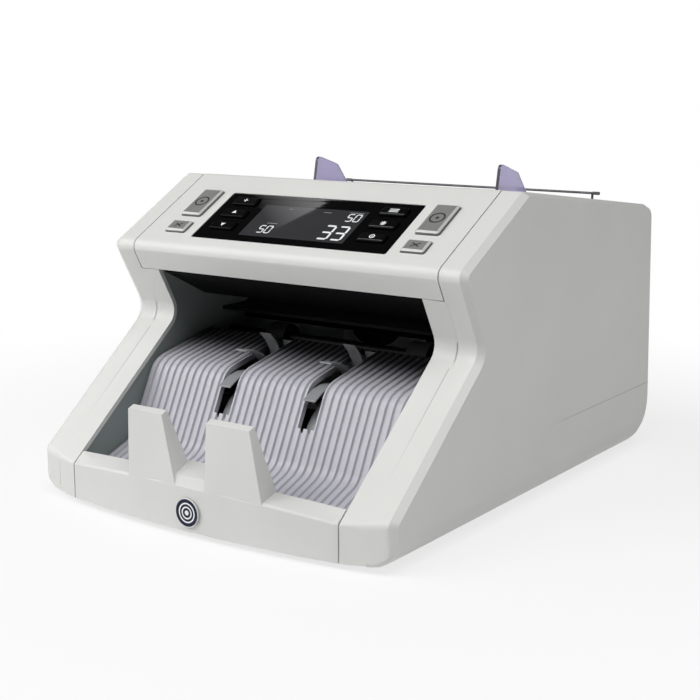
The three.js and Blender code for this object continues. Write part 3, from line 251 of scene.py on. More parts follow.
class CounterStage(bpy.types.PropertyGroup):
    """Camera, lamps and floor."""

    camera_x: length("Camera X", "Camera to the right of the middle", 463.60 * MM)
    camera_y: length("Camera Y", "Camera in front of the middle", -666.36 * MM)
    camera_z: length("Camera Z", "Camera above the table", 240.83 * MM)
    camera_turn: angle("Camera turn", "Turn from straight ahead", -0.614779)
    camera_dip: angle("Camera dip", "Tilt below level", 0.202038)
    focal: amount("Focal length", "Lens on a 36 mm sensor", 70.03)
    room: amount("Room light", "Strength of the even light from all round", 0.04)
    floor_tone: amount("Floor", "How much light the floor throws back, 0 to 1", 0.85)
    floor_radius: length("Floor radius", "Radius of the paper floor", 12000 * MM)
    floor_middle: length("Floor middle", "Radius of the middle disc of the floor's mesh", 1500 * MM)
    floor_drop: length("Floor drop", "Gap between the feet and the floor", 0.2 * MM)
    shadow_near: length("Shadow near", "Distance up to which the floor shows its shadow most", 200 * MM)
    shadow_far: length("Shadow far", "Distance from which the floor is pure white", 550 * MM)
    shadow_white: amount("Shadow white", "Share of pure white in the floor near the counter", 0.75)
    main_lamp: amount("Main lamp", "Power of the high lamp in front, to the left, in watts", 17)
    left_lamp: amount("Left lamp", "Power of the low lamp on the left, in watts", 13.5)
    right_lamp: amount("Right lamp", "Power of the steep lamp in front, to the right, in watts", 17)
    rear_lamp: amount("Rear lamp", "Power of the low lamp behind on the right, in watts", 5.2)
    lamp_far: length("Lamp distance", "From the middle of the counter to each lamp", 2000 * MM)
    lamp_size: length("Lamp size", "Width of each round soft lamp", 1400 * MM)
    lamp_aim: length("Lamp aim", "Height of the point that the lamps face", 80 * MM)
    card_place: bpy.props.FloatVectorProperty(
        name="Card place",
        description="Middle of the reflector card",
        subtype="TRANSLATION",
        default=(-0.985, 0.5395, 1.2387),
    )
    card_turn: bpy.props.FloatVectorProperty(
        name="Card turn",
        description="Turn of the reflector card",
        subtype="EULER",
        default=[math.radians(turn) for turn in (-9.42, -17.97, 47.97)],
    )
    card_size: bpy.props.FloatVectorProperty(
        name="Card size",
        description="Width and length of the reflector card",
        subtype="XYZ_LENGTH",
        size=2,
        default=(0.15, 0.25),
    )
    card_light: amount("Card light", "Strength of the reflector card at its bright end", 4)


def put_down():
    """Leaves edit mode and deselects everything."""
    if bpy.context.object and bpy.context.object.mode != "OBJECT":
        bpy.ops.object.mode_set(mode="OBJECT")
    bpy.ops.object.select_all(action="DESELECT")


def take(*pieces):
    """Selects these pieces alone and makes the first one active."""
    put_down()
    for piece in pieces:
        piece.select_set(True)
    bpy.context.view_layer.objects.active = pieces[0]


def named(name):
    """The piece just added, named and with its place in its mesh."""
    piece = bpy.context.object
    piece.name = piece.data.name = name
    return settled(piece)


def settled(piece):
    """Puts the piece's place, turn and scale in its mesh."""
    take(piece)
    bpy.ops.object.transform_apply(location=True, rotation=True, scale=True)
    return piece


def choose(piece, kind, rule):
    """Edit mode with only the chosen faces, edges or points selected.

    The rule gets the middle of each and its normal, or for an edge its direction.
    """
    take(piece)
    mesh = piece.data
    for part in (mesh.vertices, mesh.edges, mesh.polygons):
        part.foreach_set("select", [False] * len(part))
    spots = [v.co for v in mesh.vertices]
    if kind == "FACE":
        for face in mesh.polygons:
            face.select = bool(rule(face.center, face.normal))
    elif kind == "EDGE":
        for edge in mesh.edges:
            a, b = (spots[i] for i in edge.vertices)
            edge.select = bool(rule((a + b) / 2, (b - a).normalized()))
    else:
        for vertex in mesh.vertices:
            vertex.select = bool(rule(vertex.co, vertex.normal))
    bpy.context.tool_settings.mesh_select_mode = (kind == "VERT", kind == "EDGE", kind == "FACE")
    bpy.ops.object.mode_set(mode="EDIT")


def modified(piece, kind, **settings):
    """Adds a modifier with its settings and applies it."""
    take(piece)
    made = piece.modifiers.new(kind.title(), kind)
    for name, value in settings.items():
        setattr(made, name, value)
    bpy.ops.object.modifier_apply(modifier=made.name)
    return piece


def rounded(piece, width, segments=2, angle=28):
    """Rounds the piece's sharp edges and shades it smooth, with its flats kept flat."""
    modified(
        piece,
        "BEVEL",
        width=width,
        segments=segments,
        limit_method="ANGLE",
        angle_limit=math.radians(angle),
        use_clamp_overlap=True,
        miter_outer="MITER_ARC",
    )
    take(piece)
    bpy.ops.object.shade_smooth_by_angle(angle=SMOOTH_UNDER)
    return modified(piece, "WEIGHTED_NORMAL", keep_sharp=True)


def copy_of(node, name):
    """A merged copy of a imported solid, under its own name."""
    piece = bpy.data.objects.new(name, frame["nodes"][node].data.copy())
    bpy.context.scene.collection.objects.link(piece)
    piece.data.name = name
    piece.data.materials.clear()
    choose(piece, "FACE", lambda middle, normal: True)
    bpy.ops.mesh.remove_doubles(threshold=0.002 * MM)
    put_down()
    return piece


def body_of(node):
    """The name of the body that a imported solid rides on."""
    return frame["nodes"][node].parent.name.removeprefix("body:")


def coated(piece, *materials):
    """Gives the piece its materials."""
    piece.data.materials.clear()
    for material in materials:
        piece.data.materials.append(material)
    return piece


def recoated(piece, slot, rule):
    """The faces that the rule picks wear the piece's material of that number."""
    for face in piece.data.polygons:
        if rule(face.center, face.normal):
            face.material_index = slot
    return piece


def carried(piece, node, stands_for=()):
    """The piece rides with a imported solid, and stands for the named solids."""
    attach(piece, body_of(node))
    if stands_for:
        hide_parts(*stands_for)
    return piece


def dressed(piece, node, width, slot, *materials, segments=2):
    """Rounds a copied piece's edges, coats it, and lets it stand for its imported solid."""
    rounded(piece, width, segments)
    coated(piece, *materials)
    return carried(piece, node, [node])


def pushed(piece, rule, move):
    """Moves the faces that the rule picks."""
    choose(piece, "FACE", rule)
    bpy.ops.transform.translate(value=move)
    put_down()


def joined(name, *pieces):
    """Several shapes made one piece."""
    take(*pieces)
    bpy.ops.object.join()
    piece = bpy.context.object
    piece.name = piece.data.name = name
    return settled(piece)


def laid_on_panel(piece, sizes):
    """A piece modelled flat, X across and Y up the slope, is turned and set on the key panel."""
    take(piece)
    piece.rotation_euler = (sizes.slope, 0, 0)
    piece.location = (0, sizes.nose_y, sizes.nose_z)
    return settled(piece)


def add_node(tree, kind, settings=None, links=None):
    """Adds a node, gives it its settings and inputs, and links its inputs to other nodes' outputs."""
    made = tree.nodes.new(kind)
    for name, value in (settings or {}).items():
        if isinstance(name, str) and name in made.bl_rna.properties:
            setattr(made, name, value)
        else:
            made.inputs[name].default_value = value
    for name, source in (links or {}).items():
        tree.links.new(source, made.inputs[name])
    return made


def new_material(name):
    """An empty material: its node tree and its output node."""
    material = bpy.data.materials.new(name)
    material.use_nodes = True
    material.node_tree.nodes.clear()
    output = material.node_tree.nodes.new("ShaderNodeOutputMaterial")
    return material, material.node_tree, output


def band(tree, place, axis, middle, core, edge):
    """A mask round a plane across the axis and its mirror plane: 1 within core, 0 beyond edge."""
    apart = add_node(tree, "ShaderNodeSeparateXYZ", None, {0: place.outputs["Object"]})
    off = add_node(tree, "ShaderNodeMath", {"operation": "ABSOLUTE"}, {0: apart.outputs[axis]})
    off = add_node(tree, "ShaderNodeMath", {"operation": "SUBTRACT", 1: middle}, {0: off.outputs[0]})
    off = add_node(tree, "ShaderNodeMath", {"operation": "ABSOLUTE"}, {0: off.outputs[0]})
    return add_node(
        tree,
        "ShaderNodeMapRange",
        {"From Min": core, "From Max": edge, "To Min": 1.0, "To Max": 0.0},
        {"Value": off.outputs[0]},
    )


def ramp(tree, place, axis, start, end, most=1.0):
    """A mask that grows from 0 at start to its most at end along the axis."""
    apart = add_node(tree, "ShaderNodeSeparateXYZ", None, {0: place.outputs["Object"]})
    return add_node(
        tree,
        "ShaderNodeMapRange",
        {"interpolation_type": "SMOOTHSTEP", "From Min": start, "From Max": end, "To Max": most},
        {"Value": apart.outputs[axis]},
    )


def patterned(
    name,
    light,
    dark,
    grain,
    relief,
    patch,
    shader,
    stretch=(1, 1, 1),
    wear=0.08,
    mark=None,
    mark_tone=(0, 0, 0),
):
    """A surface with a fine grain in relief, and a slow drift from the light to the dark tone.

    Grain, relief and patch are lengths: of the grain, of its height and of the drift.
    Wear is how much the gloss varies with the grain. A mark is a function that gives a mask,
    and where the mask is 1 the surface has the mark's tone.
    """
    material, tree, output = new_material(name)
    place = add_node(tree, "ShaderNodeTexCoord")
    turned = add_node(tree, "ShaderNodeMapping", {"Scale": stretch}, {"Vector": place.outputs["Object"]})
    fine = add_node(
        tree,
        "ShaderNodeTexNoise",
        {"Scale": 1 / grain, "Detail": 3.0, "Roughness": 0.6},
        {"Vector": turned.outputs[0]},
    )
    slow = add_node(
        tree,
        "ShaderNodeTexNoise",
        {"Scale": 1 / patch, "Detail": 2.0, "Roughness": 0.5},
        {"Vector": place.outputs["Object"]},
    )
    drift = add_node(
        tree, "ShaderNodeMapRange", {"From Min": 0.3, "From Max": 0.7}, {"Value": slow.outputs[0]}
    )
    colour = add_node(
        tree,
        "ShaderNodeMix",
        {"data_type": "RGBA", 6: (*light, 1), 7: (*dark, 1)},
        {0: drift.outputs[0]},
    )
    tone = colour.outputs[2]
    if mark:
        marked = add_node(
            tree,
            "ShaderNodeMix",
            {"data_type": "RGBA", 7: (*mark_tone, 1)},
            {0: mark(tree, place).outputs[0], 6: tone},
        )
        tone = marked.outputs[2]
    rough = shader["Roughness"]
    gloss = add_node(
        tree,
        "ShaderNodeMapRange",
        {"From Min": 0.25, "From Max": 0.75, "To Min": rough - wear / 2, "To Max": rough + wear / 2},
        {"Value": fine.outputs[0]},
    )
    relieved = add_node(
        tree, "ShaderNodeBump", {"Strength": 1.0, "Distance": relief}, {"Height": fine.outputs[0]}
    )
    surface = add_node(
        tree,
        "ShaderNodeBsdfPrincipled",
        shader,
        {"Base Color": tone, "Roughness": gloss.outputs[0], "Normal": relieved.outputs[0]},
    )
    tree.links.new(surface.outputs[0], output.inputs["Surface"])
    return material


def shade(colour, share):
    """The colour made darker or lighter by a share."""
    return [min(1, c * share) for c in colour]


def make_finishes(colours, sizes):
    """All the finishes, by their short names."""
    made = {}

    # Painted shadow of the tiny step at the side panels' parting line, darkest towards the rear.
    def parting_step_shadow(tree, place):
        line = band(tree, place, 2, sizes.parting_height, sizes.line_core, sizes.parting_edge)
        along = ramp(tree, place, 1, sizes.parting_start, sizes.parting_full)
        inputs = {0: line.outputs[0], 1: along.outputs[0]}
        return add_node(tree, "ShaderNodeMath", {"operation": "MULTIPLY"}, inputs)

    def arm_joint(tree, place):
        mask = band(tree, place, 0, sizes.joint_place, sizes.line_core, sizes.joint_edge)
        stop = sizes.joint_high + sizes.joint_stop
        for start, end in ((sizes.joint_low, sizes.joint_high), (stop + sizes.joint_stop, stop)):
            along = ramp(tree, place, 2, start, end)
            inputs = {0: mask.outputs[0], 1: along.outputs[0]}
            mask = add_node(tree, "ShaderNodeMath", {"operation": "MULTIPLY"}, inputs)
        return mask

    # Painted shade on the ribs, darker towards the rear, for the shadow that the pocket casts on their
    # rear end.
    def painted_rib_shade(tree, place):
        return ramp(tree, place, 1, sizes.dust_start, sizes.rib_shade_full, most=0.95)

    # Injection moulded ABS with a fine spark-eroded texture: matt, warm light grey, a soft highlight.
    # A side panel has a painted shadow line under the tiny step where the tool's slide met its cavity,
    # and a post the hairline of its joint to the side panel, which closes up down the arm.
    for key, title, mark, mark_share in (
        ("housing", "Moulded ABS, light grey", None, 1),
        ("panel", "Moulded ABS, side panel", parting_step_shadow, 0.6),
        ("post", "Moulded ABS, front post", arm_joint, 0.55),
    ):
        made[key] = patterned(
            title, colours.housing, shade(colours.housing, 0.965),
            grain=0.9 * MM, relief=0.008 * MM, patch=60 * MM,
            shader={"Roughness": 0.48, "IOR": 1.53},
            mark=mark, mark_tone=shade(colours.housing, mark_share),
        )
    # The same ABS from another tool, a little cooler and more matt.
    made["tray"] = patterned(
        "Moulded ABS, tray grey", colours.tray, shade(colours.tray, 0.96),
        grain=0.9 * MM, relief=0.008 * MM, patch=40 * MM,
        shader={"Roughness": 0.52, "IOR": 1.53},
    )
    # Smooth ABS that notes have polished: satin, cool grey, with painted shade towards the stacker
    # wheels.
    # The painted shade stands for the pocket's shadow over the ribs' rear end, and is darkest at the
    # back.
    made["ribs"] = patterned(
        "Satin moulded ABS, ribs", colours.ribs, shade(colours.ribs, 0.95),
        grain=1.5 * MM, relief=0.004 * MM, patch=25 * MM,
        shader={"Roughness": 0.38, "IOR": 1.53}, mark=painted_rib_shade, mark_tone=colours.dark,
    )
    # Sheet steel in a baked wrinkle-free coat: dull green-grey, faint orange peel.
    made["liner"] = patterned(
        "Baked enamel on sheet steel", colours.liner, shade(colours.liner, 0.9),
        grain=1.8 * MM, relief=0.012 * MM, patch=45 * MM,
        shader={"Roughness": 0.45, "IOR": 1.5},
    )
    # Glass-filled polycarbonate, moulded black: matt with a slight mottle.
    made["dark"] = patterned(
        "Moulded polycarbonate, black", colours.dark, shade(colours.dark, 0.75),
        grain=1.0 * MM, relief=0.01 * MM, patch=30 * MM,
        shader={"Roughness": 0.6, "IOR": 1.58, "Specular IOR Level": 0.15},
    )
    # Black powder coat on pressed steel: small even orange peel that breaks up the highlight.
    made["chassis"] = patterned(
        "Powder coated steel, black", colours.chassis, shade(colours.chassis, 0.8),
        grain=0.8 * MM, relief=0.02 * MM, patch=50 * MM,
        shader={"Roughness": 0.55, "IOR": 1.5},
    )
    # Key caps in satin ABS: mid grey face.
    made["key_grey"] = patterned(
        "Satin key cap, grey", colours.key_grey, shade(colours.key_grey, 0.95),
        grain=0.6 * MM, relief=0.004 * MM, patch=8 * MM,
        shader={"Roughness": 0.4, "IOR": 1.53},
    )
    # The caps' bevelled rim, polished by the tool and glossier than the face; its lighter tone is painted
    # highlight.
    made["key_rim"] = patterned(
        "Polished key rim, silver grey", colours.key_rim, shade(colours.key_rim, 0.95),
        grain=0.8 * MM, relief=0.002 * MM, patch=8 * MM,
        shader={"Roughness": 0.26, "IOR": 1.53},
    )
    # Gloss black key caps: deep black with bright edges.
    made["key_black"] = patterned(
        "Gloss key cap, black", colours.key_black, shade(colours.key_black, 0.8),
        grain=0.8 * MM, relief=0.001 * MM, patch=8 * MM,
        shader={"Roughness": 0.3, "IOR": 1.53, "Specular IOR Level": 0.08}, wear=0.05,
    )
    # The black caps' sloping rim, darker than the face with painted shade for the shadow it sinks in.
    made["black_rim"] = patterned(
        "Polished key rim, black", shade(colours.key_black, 0.8), shade(colours.key_black, 0.6),
        grain=0.8 * MM, relief=0.001 * MM, patch=8 * MM,
        shader={"Roughness": 0.35, "IOR": 1.53, "Specular IOR Level": 0.05}, wear=0.05,
    )
    # A painted highlight on the lower edge of a black cap: a thin grey line for the lamps' glint on its
    # round.
    made["black_edge"] = patterned(
        "Worn key edge, black", shade(colours.lcd, 2.6), shade(colours.lcd, 1.6),
        grain=0.8 * MM, relief=0.001 * MM, patch=8 * MM,
        shader={"Roughness": 0.3, "IOR": 1.53}, wear=0.05,
    )
    # Acrylic sheet printed black on its back: mirror-like top, deep black under it.
    made["glass"] = patterned(
        "Back-printed acrylic, black", colours.glass, shade(colours.glass, 0.85),
        grain=6 * MM, relief=0.0004 * MM, patch=30 * MM,
        shader={"Roughness": 0.02, "IOR": 1.49, "Specular IOR Level": 0.25}, wear=0.01,
    )
    # The clear window over the liquid crystal cell: dark grey film behind gloss.
    made["lcd"] = patterned(
        "Liquid crystal cell under acrylic", colours.lcd, shade(colours.lcd, 0.9),
        grain=5 * MM, relief=0.0004 * MM, patch=25 * MM,
        shader={"Roughness": 0.02, "IOR": 1.49, "Specular IOR Level": 0.25}, wear=0.01,
    )
    # Smoked violet polycarbonate, polished: tinted and see-through, bright at its edges.
    made["violet"] = patterned(
        "Smoked polycarbonate, violet", colours.violet, shade(colours.violet, 0.9),
        grain=4 * MM, relief=0.001 * MM, patch=30 * MM,
        shader={"Roughness": 0.12, "IOR": 1.58, "Transmission Weight": 0.6}, wear=0.04,
    )
    # The same sheet seen through its sawn edge: light is trapped inside, so it looks almost black.
    made["violet_edge"] = patterned(
        "Smoked polycarbonate, cut edge", shade(colours.violet, 0.12), shade(colours.violet, 0.08),
        grain=1 * MM, relief=0.004 * MM, patch=10 * MM,
        shader={"Roughness": 0.3, "IOR": 1.58}, wear=0.06,
    )
    # Printed polycarbonate label: navy ink under a semi-gloss film.
    made["navy"] = patterned(
        "Printed polycarbonate, navy", colours.navy, shade(colours.navy, 0.85),
        grain=1.2 * MM, relief=0.001 * MM, patch=6 * MM,
        shader={"Roughness": 0.35, "IOR": 1.58, "Specular IOR Level": 0.2}, wear=0.05,
    )
    # Screen printing ink, white: flat and slightly chalky.
    made["ink"] = patterned(
        "Screen printed ink, white", colours.ink, shade(colours.ink, 0.94),
        grain=0.5 * MM, relief=0.002 * MM, patch=3 * MM,
        shader={"Roughness": 0.6, "IOR": 1.5},
    )
    # The same ink in a thin pass, so that the black shows through it.
    made["faint_ink"] = patterned(
        "Screen printed ink, thin", shade(colours.ink, 0.3), shade(colours.ink, 0.22),
        grain=0.5 * MM, relief=0.002 * MM, patch=3 * MM,
        shader={"Roughness": 0.6, "IOR": 1.5},
    )
    # Screen printing ink, near black, on the grey keys.
    made["dark_ink"] = patterned(
        "Screen printed ink, black", colours.dark_ink, shade(colours.dark_ink, 0.85),
        grain=0.5 * MM, relief=0.002 * MM, patch=3 * MM,
        shader={"Roughness": 0.6, "IOR": 1.5},
    )
    # Nitrile rubber, ground: dead matt, fine grit.
    made["rubber"] = patterned(
        "Ground nitrile rubber", colours.rubber, shade(colours.rubber, 0.8),
        grain=0.5 * MM, relief=0.02 * MM, patch=10 * MM,
        shader={"Roughness": 0.8, "IOR": 1.52},
    )
    # Acetal copolymer, moulded: slightly waxy grey.
    made["wheel"] = patterned(
        "Moulded acetal, grey", colours.wheel, shade(colours.wheel, 0.93),
        grain=0.9 * MM, relief=0.004 * MM, patch=12 * MM,
        shader={"Roughness": 0.36, "IOR": 1.48, "Subsurface Weight": 0.05, "Subsurface Scale": 0.001},
    )
    # Ground steel bar: fine turning lines round the shaft, long bright highlight.
    made["steel"] = patterned(
        "Ground steel bar", colours.steel, shade(colours.steel, 0.85),
        grain=0.5 * MM, relief=0.003 * MM, patch=12 * MM,
        shader={"Roughness": 0.3, "Metallic": 1.0}, stretch=(1, 0.08, 0.08), wear=0.12,
    )
    # Drawn spring wire, phosphated: mid grey metal with a dull sheen.
    made["wire"] = patterned(
        "Phosphated spring wire", colours.wire, shade(colours.wire, 0.8),
        grain=0.5 * MM, relief=0.002 * MM, patch=12 * MM,
        shader={"Roughness": 0.4, "Metallic": 1.0}, stretch=(0.08, 1, 1), wear=0.12,
    )
    # Steel shaft blackened in a salt bath: dark, with a low oily sheen.
    made["black_steel"] = patterned(
        "Blackened steel bar", shade(colours.dark, 1.6), shade(colours.dark, 1.0),
        grain=0.5 * MM, relief=0.003 * MM, patch=12 * MM,
        shader={"Roughness": 0.45, "Metallic": 0.6}, stretch=(1, 0.08, 0.08), wear=0.12,
    )
    # Zinc plated sheet: pale metal with a soft cloud of crystals.
    made["zinc"] = patterned(
        "Zinc plated sheet", shade(colours.steel, 0.95), shade(colours.steel, 0.7),
        grain=2.5 * MM, relief=0.004 * MM, patch=8 * MM,
        shader={"Roughness": 0.4, "Metallic": 1.0}, wear=0.15,
    )
    # Glass-epoxy board under green solder mask: glossy, mottled by the copper below.
    made["board"] = patterned(
        "Solder mask on glass epoxy", colours.board, shade(colours.board, 0.6),
        grain=1.4 * MM, relief=0.012 * MM, patch=5 * MM,
        shader={"Roughness": 0.28, "IOR": 1.55},
    )
    return made


# The finishes by their short names, once their operator has run.
FINISH = {}


def blend_toe(sizes, post, end, front):
    """The post's lapped end is moved along the front's bow, and gets rounds as large as the panel's."""

    def at_toe(spot):
        return abs(spot.x) > end - NEAR and spot.y < front + sizes.toe_depth

    choose(post, "VERT", lambda spot, normal: at_toe(spot) and spot.z < sizes.toe_low)
    bpy.ops.transform.translate(value=(0, sizes.post_sink, 0))
    choose(post, "VERT", lambda spot, normal: at_toe(spot) and sizes.toe_low < spot.z < sizes.toe_high)
    bpy.ops.transform.resize(
        value=(1, sizes.toe_widened, sizes.toe_widened),
        center_override=(0, front - sizes.toe_back, sizes.toe_corner),
    )
    choose(post, "VERT", lambda spot, normal: at_toe(spot) and spot.z < sizes.toe_foot)
    bpy.ops.transform.translate(value=(0, 0, sizes.toe_lift))
    put_down()


def make_side(sizes, side, way):
    """A side panel, and the front post that laps onto it so that no gap shows between them."""
    node = side + "_side_panel"
    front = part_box(node)[0].y
    panel = copy_of(node, side + "_side_moulding")
    dressed(panel, node, sizes.housing_round, "housing_grey", FINISH["panel"], segments=3)

    node = side + "_front_post"
    low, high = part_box(node)
    end = high.x if way > 0 else low.x
    under_lip = high.z - sizes.lip_reach
    post = copy_of(node, side + "_post_moulding")
    pushed(post, lambda middle, normal: abs(middle.x - end) < NEAR, (way * sizes.post_lap, 0, 0))
    blend_toe(sizes, post, abs(end), front)
    down = (0, 0, -sizes.lip_shadow)
    pushed(post, lambda middle, normal: middle.z > under_lip and normal.z > 0.5, down)
    dressed(post, node, sizes.cover_round, "housing_grey", FINISH["post"])


def make_housings(sizes):
    """Side panels, posts, covers and the ribbed plate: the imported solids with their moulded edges."""
    for side, way in SIDES:
        make_side(sizes, side, way)
    for node, name, slot, finish, inset in (
        ("control_panel_cover", "panel_cover_moulding", "housing_grey", "housing", sizes.cover_shadow),
        ("tray_cover", "tray_moulding", "tray_grey", "tray", sizes.tray_shadow),
        ("rear_cover", "rear_moulding", "housing_grey", "housing", 0),
        ("stacker_rib_plate", "rib_moulding", "rib_grey", "ribs", 0),
    ):
        piece = copy_of(node, name)
        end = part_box(node)[1].x - NEAR
        for way in (-1, 1):
            pushed(piece, lambda middle, normal: way * middle.x > end, (-way * inset, 0, 0))
        dressed(piece, node, sizes.cover_round, slot, FINISH[finish])


def key_cap(sizes, node, x, low, width, height, proud, rim, edge, slot, *finishes):
    """A key cap: a block with rounded corners, a sloping rim round its face and a hollow foot.

    Its finishes are the face's, the rim's and, where it has one, the painted highlight on the lower edge.
    """
    depth = proud + sizes.key_foot
    slope = rim * sizes.rim_slope
    put_down()
    bpy.ops.mesh.primitive_cube_add(
        size=1, location=(x, low + height / 2, proud - slope - depth / 2), scale=(width, height, depth)
    )
    cap = named(node + "_cap")
    choose(cap, "EDGE", lambda middle, way: abs(way.z) > ALONG)
    bpy.ops.mesh.bevel(offset=sizes.key_corner, segments=4)
    choose(cap, "FACE", lambda middle, normal: normal.z > ALONG)
    bpy.ops.mesh.inset(thickness=rim, depth=slope)
    choose(cap, "FACE", lambda middle, normal: normal.z < -ALONG)
    bpy.ops.mesh.inset(thickness=sizes.key_wall, depth=sizes.key_hollow)
    rounded(cap, edge, segments=2, angle=20)
    coated(cap, *finishes)
    # The rim leans, which the face and the sides don't.
    recoated(cap, 1, lambda middle, normal: 0.15 < normal.z < 0.985)
    if len(finishes) > 2:
        # The painted highlight goes on the round between the face and the lower side's rim.
        recoated(cap, 2, lambda middle, normal: -0.44 < normal.y < -0.04 and normal.z > 0.88)
    laid_on_panel(cap, sizes)
    carried(cap, node, [node])


def thin_mark(piece, sizes):
    """A flat outline given the thickness of ink."""
    modified(piece, "SOLIDIFY", thickness=sizes.mark_height, offset=1)


def printed(mark, sizes, finish, node):
    """A flat mark gets the thickness and the colour of ink, and rides on the key panel with a solid."""
    thin_mark(mark, sizes)
    coated(mark, FINISH[finish])
    laid_on_panel(mark, sizes)
    carried(mark, node)


def ring_mark(x, y, z, outer, inner):
    """A printed ring."""
    put_down()
    bpy.ops.mesh.primitive_circle_add(vertices=48, radius=outer, fill_type="NGON", location=(x, y, z))
    ring = named("ring")
    choose(ring, "FACE", lambda middle, normal: True)
    bpy.ops.mesh.inset(thickness=outer - inner)
    bpy.ops.mesh.delete(type="FACE")
    put_down()
    return ring


def dot_mark(x, y, z, radius, corners=24, turn=0):
    """A printed dot, or a triangle where it has three corners."""
    put_down()
    bpy.ops.mesh.primitive_circle_add(
        vertices=corners, radius=radius, fill_type="NGON", location=(x, y, z), rotation=(0, 0, turn)
    )
    return named("dot")


def bar_mark(x, y, z, long, wide, turn=0):
    """A printed bar with rounded ends."""
    put_down()
    bpy.ops.mesh.primitive_plane_add(size=1, location=(x, y, z), rotation=(0, 0, turn))
    bpy.context.object.scale = (long, wide, 1)
    bar = named("bar")
    choose(bar, "VERT", lambda spot, normal: True)
    bpy.ops.mesh.bevel(offset=wide * 0.45, segments=3, affect="VERTICES")
    put_down()
    return bar


def segment(x, y, z, long, wide, upright):
    """One pointed bar of a seven-segment figure."""
    put_down()
    bpy.ops.mesh.primitive_circle_add(vertices=6, radius=wide / 2, fill_type="NGON", location=(0, 0, 0))
    bar = named("segment")
    for way in (1, -1):
        choose(bar, "VERT", lambda spot, normal: way * spot.y > 0.1 * wide)
        bpy.ops.transform.translate(value=(0, way * (long - wide) / 2, 0))
    put_down()
    take(bar)
    bar.rotation_euler = (0, 0, 0 if upright else math.pi / 2)
    bar.location = (x, y, z)
    return settled(bar)


# The bars that are lit in each figure: a to f clockwise from the top one, and g in the middle.
LIT = {"0": "abcdef", "3": "abgcd", "5": "afgcd"}


def figures(name, text, right, low, z, height):
    """A number in seven-segment figures, ending at right."""
    wide, thick = height * 0.52, height * 0.13
    pitch = wide * 1.45
    # Each bar's middle across and up, and whether it stands upright.
    middles = {
        "a": (wide / 2, height, False),
        "b": (wide, height * 0.75, True),
        "c": (wide, height * 0.25, True),
        "d": (wide / 2, 0, False),
        "e": (0, height * 0.25, True),
        "f": (0, height * 0.75, True),
        "g": (wide / 2, height / 2, False),
    }
    bars = []
    for place, figure in enumerate(reversed(text)):
        left = right - wide - place * pitch
        for letter in LIT[figure]:
            x, y, upright = middles[letter]
            long = 0.92 * (height / 2 if upright else wide)
            bars.append(segment(left + x, low + y, z, long, thick, upright))
    return joined(name, *bars)


def make_display(sizes):
    """The display glass with the window over its cell, and the lit figures."""
    node = "display_glass"
    glass = copy_of(node, "display_glass_sheet")
    dressed(glass, node, sizes.sheet_round, "panel_glass", FINISH["glass"])

    middle = (sizes.window_low + sizes.window_high) / 2
    put_down()
    bpy.ops.mesh.primitive_plane_add(size=1, location=(0, middle, sizes.glass_face + sizes.window_rise))
    bpy.context.object.scale = (2 * sizes.window_half, sizes.window_high - sizes.window_low, 1)
    window = named("display_window")
    choose(window, "VERT", lambda spot, normal: True)
    bpy.ops.mesh.bevel(offset=sizes.window_corner, segments=3, affect="VERTICES")
    thin_mark(window, sizes)
    rounded(window, sizes.window_edge, segments=1)
    coated(window, FINISH["lcd"])
    laid_on_panel(window, sizes)
    carried(window, node)

    top = sizes.glass_face + sizes.figure_rise
    # Each number's right end across, in half windows, and its foot over the window's middle.
    numbers = [
        figures(name, text, across * sizes.window_half, middle + up, top, height)
        for name, text, across, up, height in (
            ("figures_left", "50", -0.48, -11.5 * MM, sizes.small_figure),
            ("figures_right", "50", 0.93, 5.2 * MM, sizes.small_figure),
            ("figures_total", "33", 0.9, -12.5 * MM, sizes.large_figure),
        )
    ]
    # Each label is a bar: its middle across and up in the same measures, its length and its width.
    labels = [
        bar_mark(across * sizes.window_half, middle + up, top, long, wide)
        for across, up, long, wide in (
            (-0.56, -2.2 * MM, 7.5 * MM, 0.55 * MM),
            (0.8, 13.2 * MM, 9.5 * MM, 0.55 * MM),
            (-0.45, 12.6 * MM, 3.2 * MM, 0.5 * MM),
            (0.27, 11.8 * MM, 5.5 * MM, 0.5 * MM),
        )
    ]
    label_row = joined("display_labels", *labels)
    for number in numbers:
        printed(number, sizes, "ink", node)
    printed(label_row, sizes, "faint_ink", node)


def make_grey_keys(sizes, side, x):
    """A start key with its ring and dot, and the clear key under it with its cross."""
    start, clear = "start_key_" + side, "clear_key_" + side
    for node, low, width, height, proud in (
        (start, sizes.start_low, sizes.start_width, sizes.start_height, sizes.start_proud),
        (clear, sizes.clear_low, sizes.clear_width, sizes.clear_height, sizes.clear_proud),
    ):
        key_cap(
            sizes, node, x, low, width, height, proud, sizes.grey_rim, sizes.grey_edge, "key_grey",
            FINISH["key_grey"], FINISH["key_rim"],
        )
    y, face = sizes.start_low + sizes.start_mark, sizes.start_proud + sizes.mark_gap
    ring = joined(
        "start_mark_" + side,
        ring_mark(x, y, face, sizes.start_ring, sizes.start_ring - sizes.start_line),
        dot_mark(x, y, face, sizes.start_dot),
    )
    y, face = sizes.clear_low + sizes.clear_height / 2, sizes.clear_proud + sizes.mark_gap
    cross = joined(
        "clear_mark_" + side,
        bar_mark(x, y, face, sizes.clear_cross, sizes.clear_line, sizes.clear_turn),
        bar_mark(x, y, face, sizes.clear_cross, sizes.clear_line, -sizes.clear_turn),
    )
    printed(ring, sizes, "dark_ink", start)
    printed(cross, sizes, "dark_ink", clear)


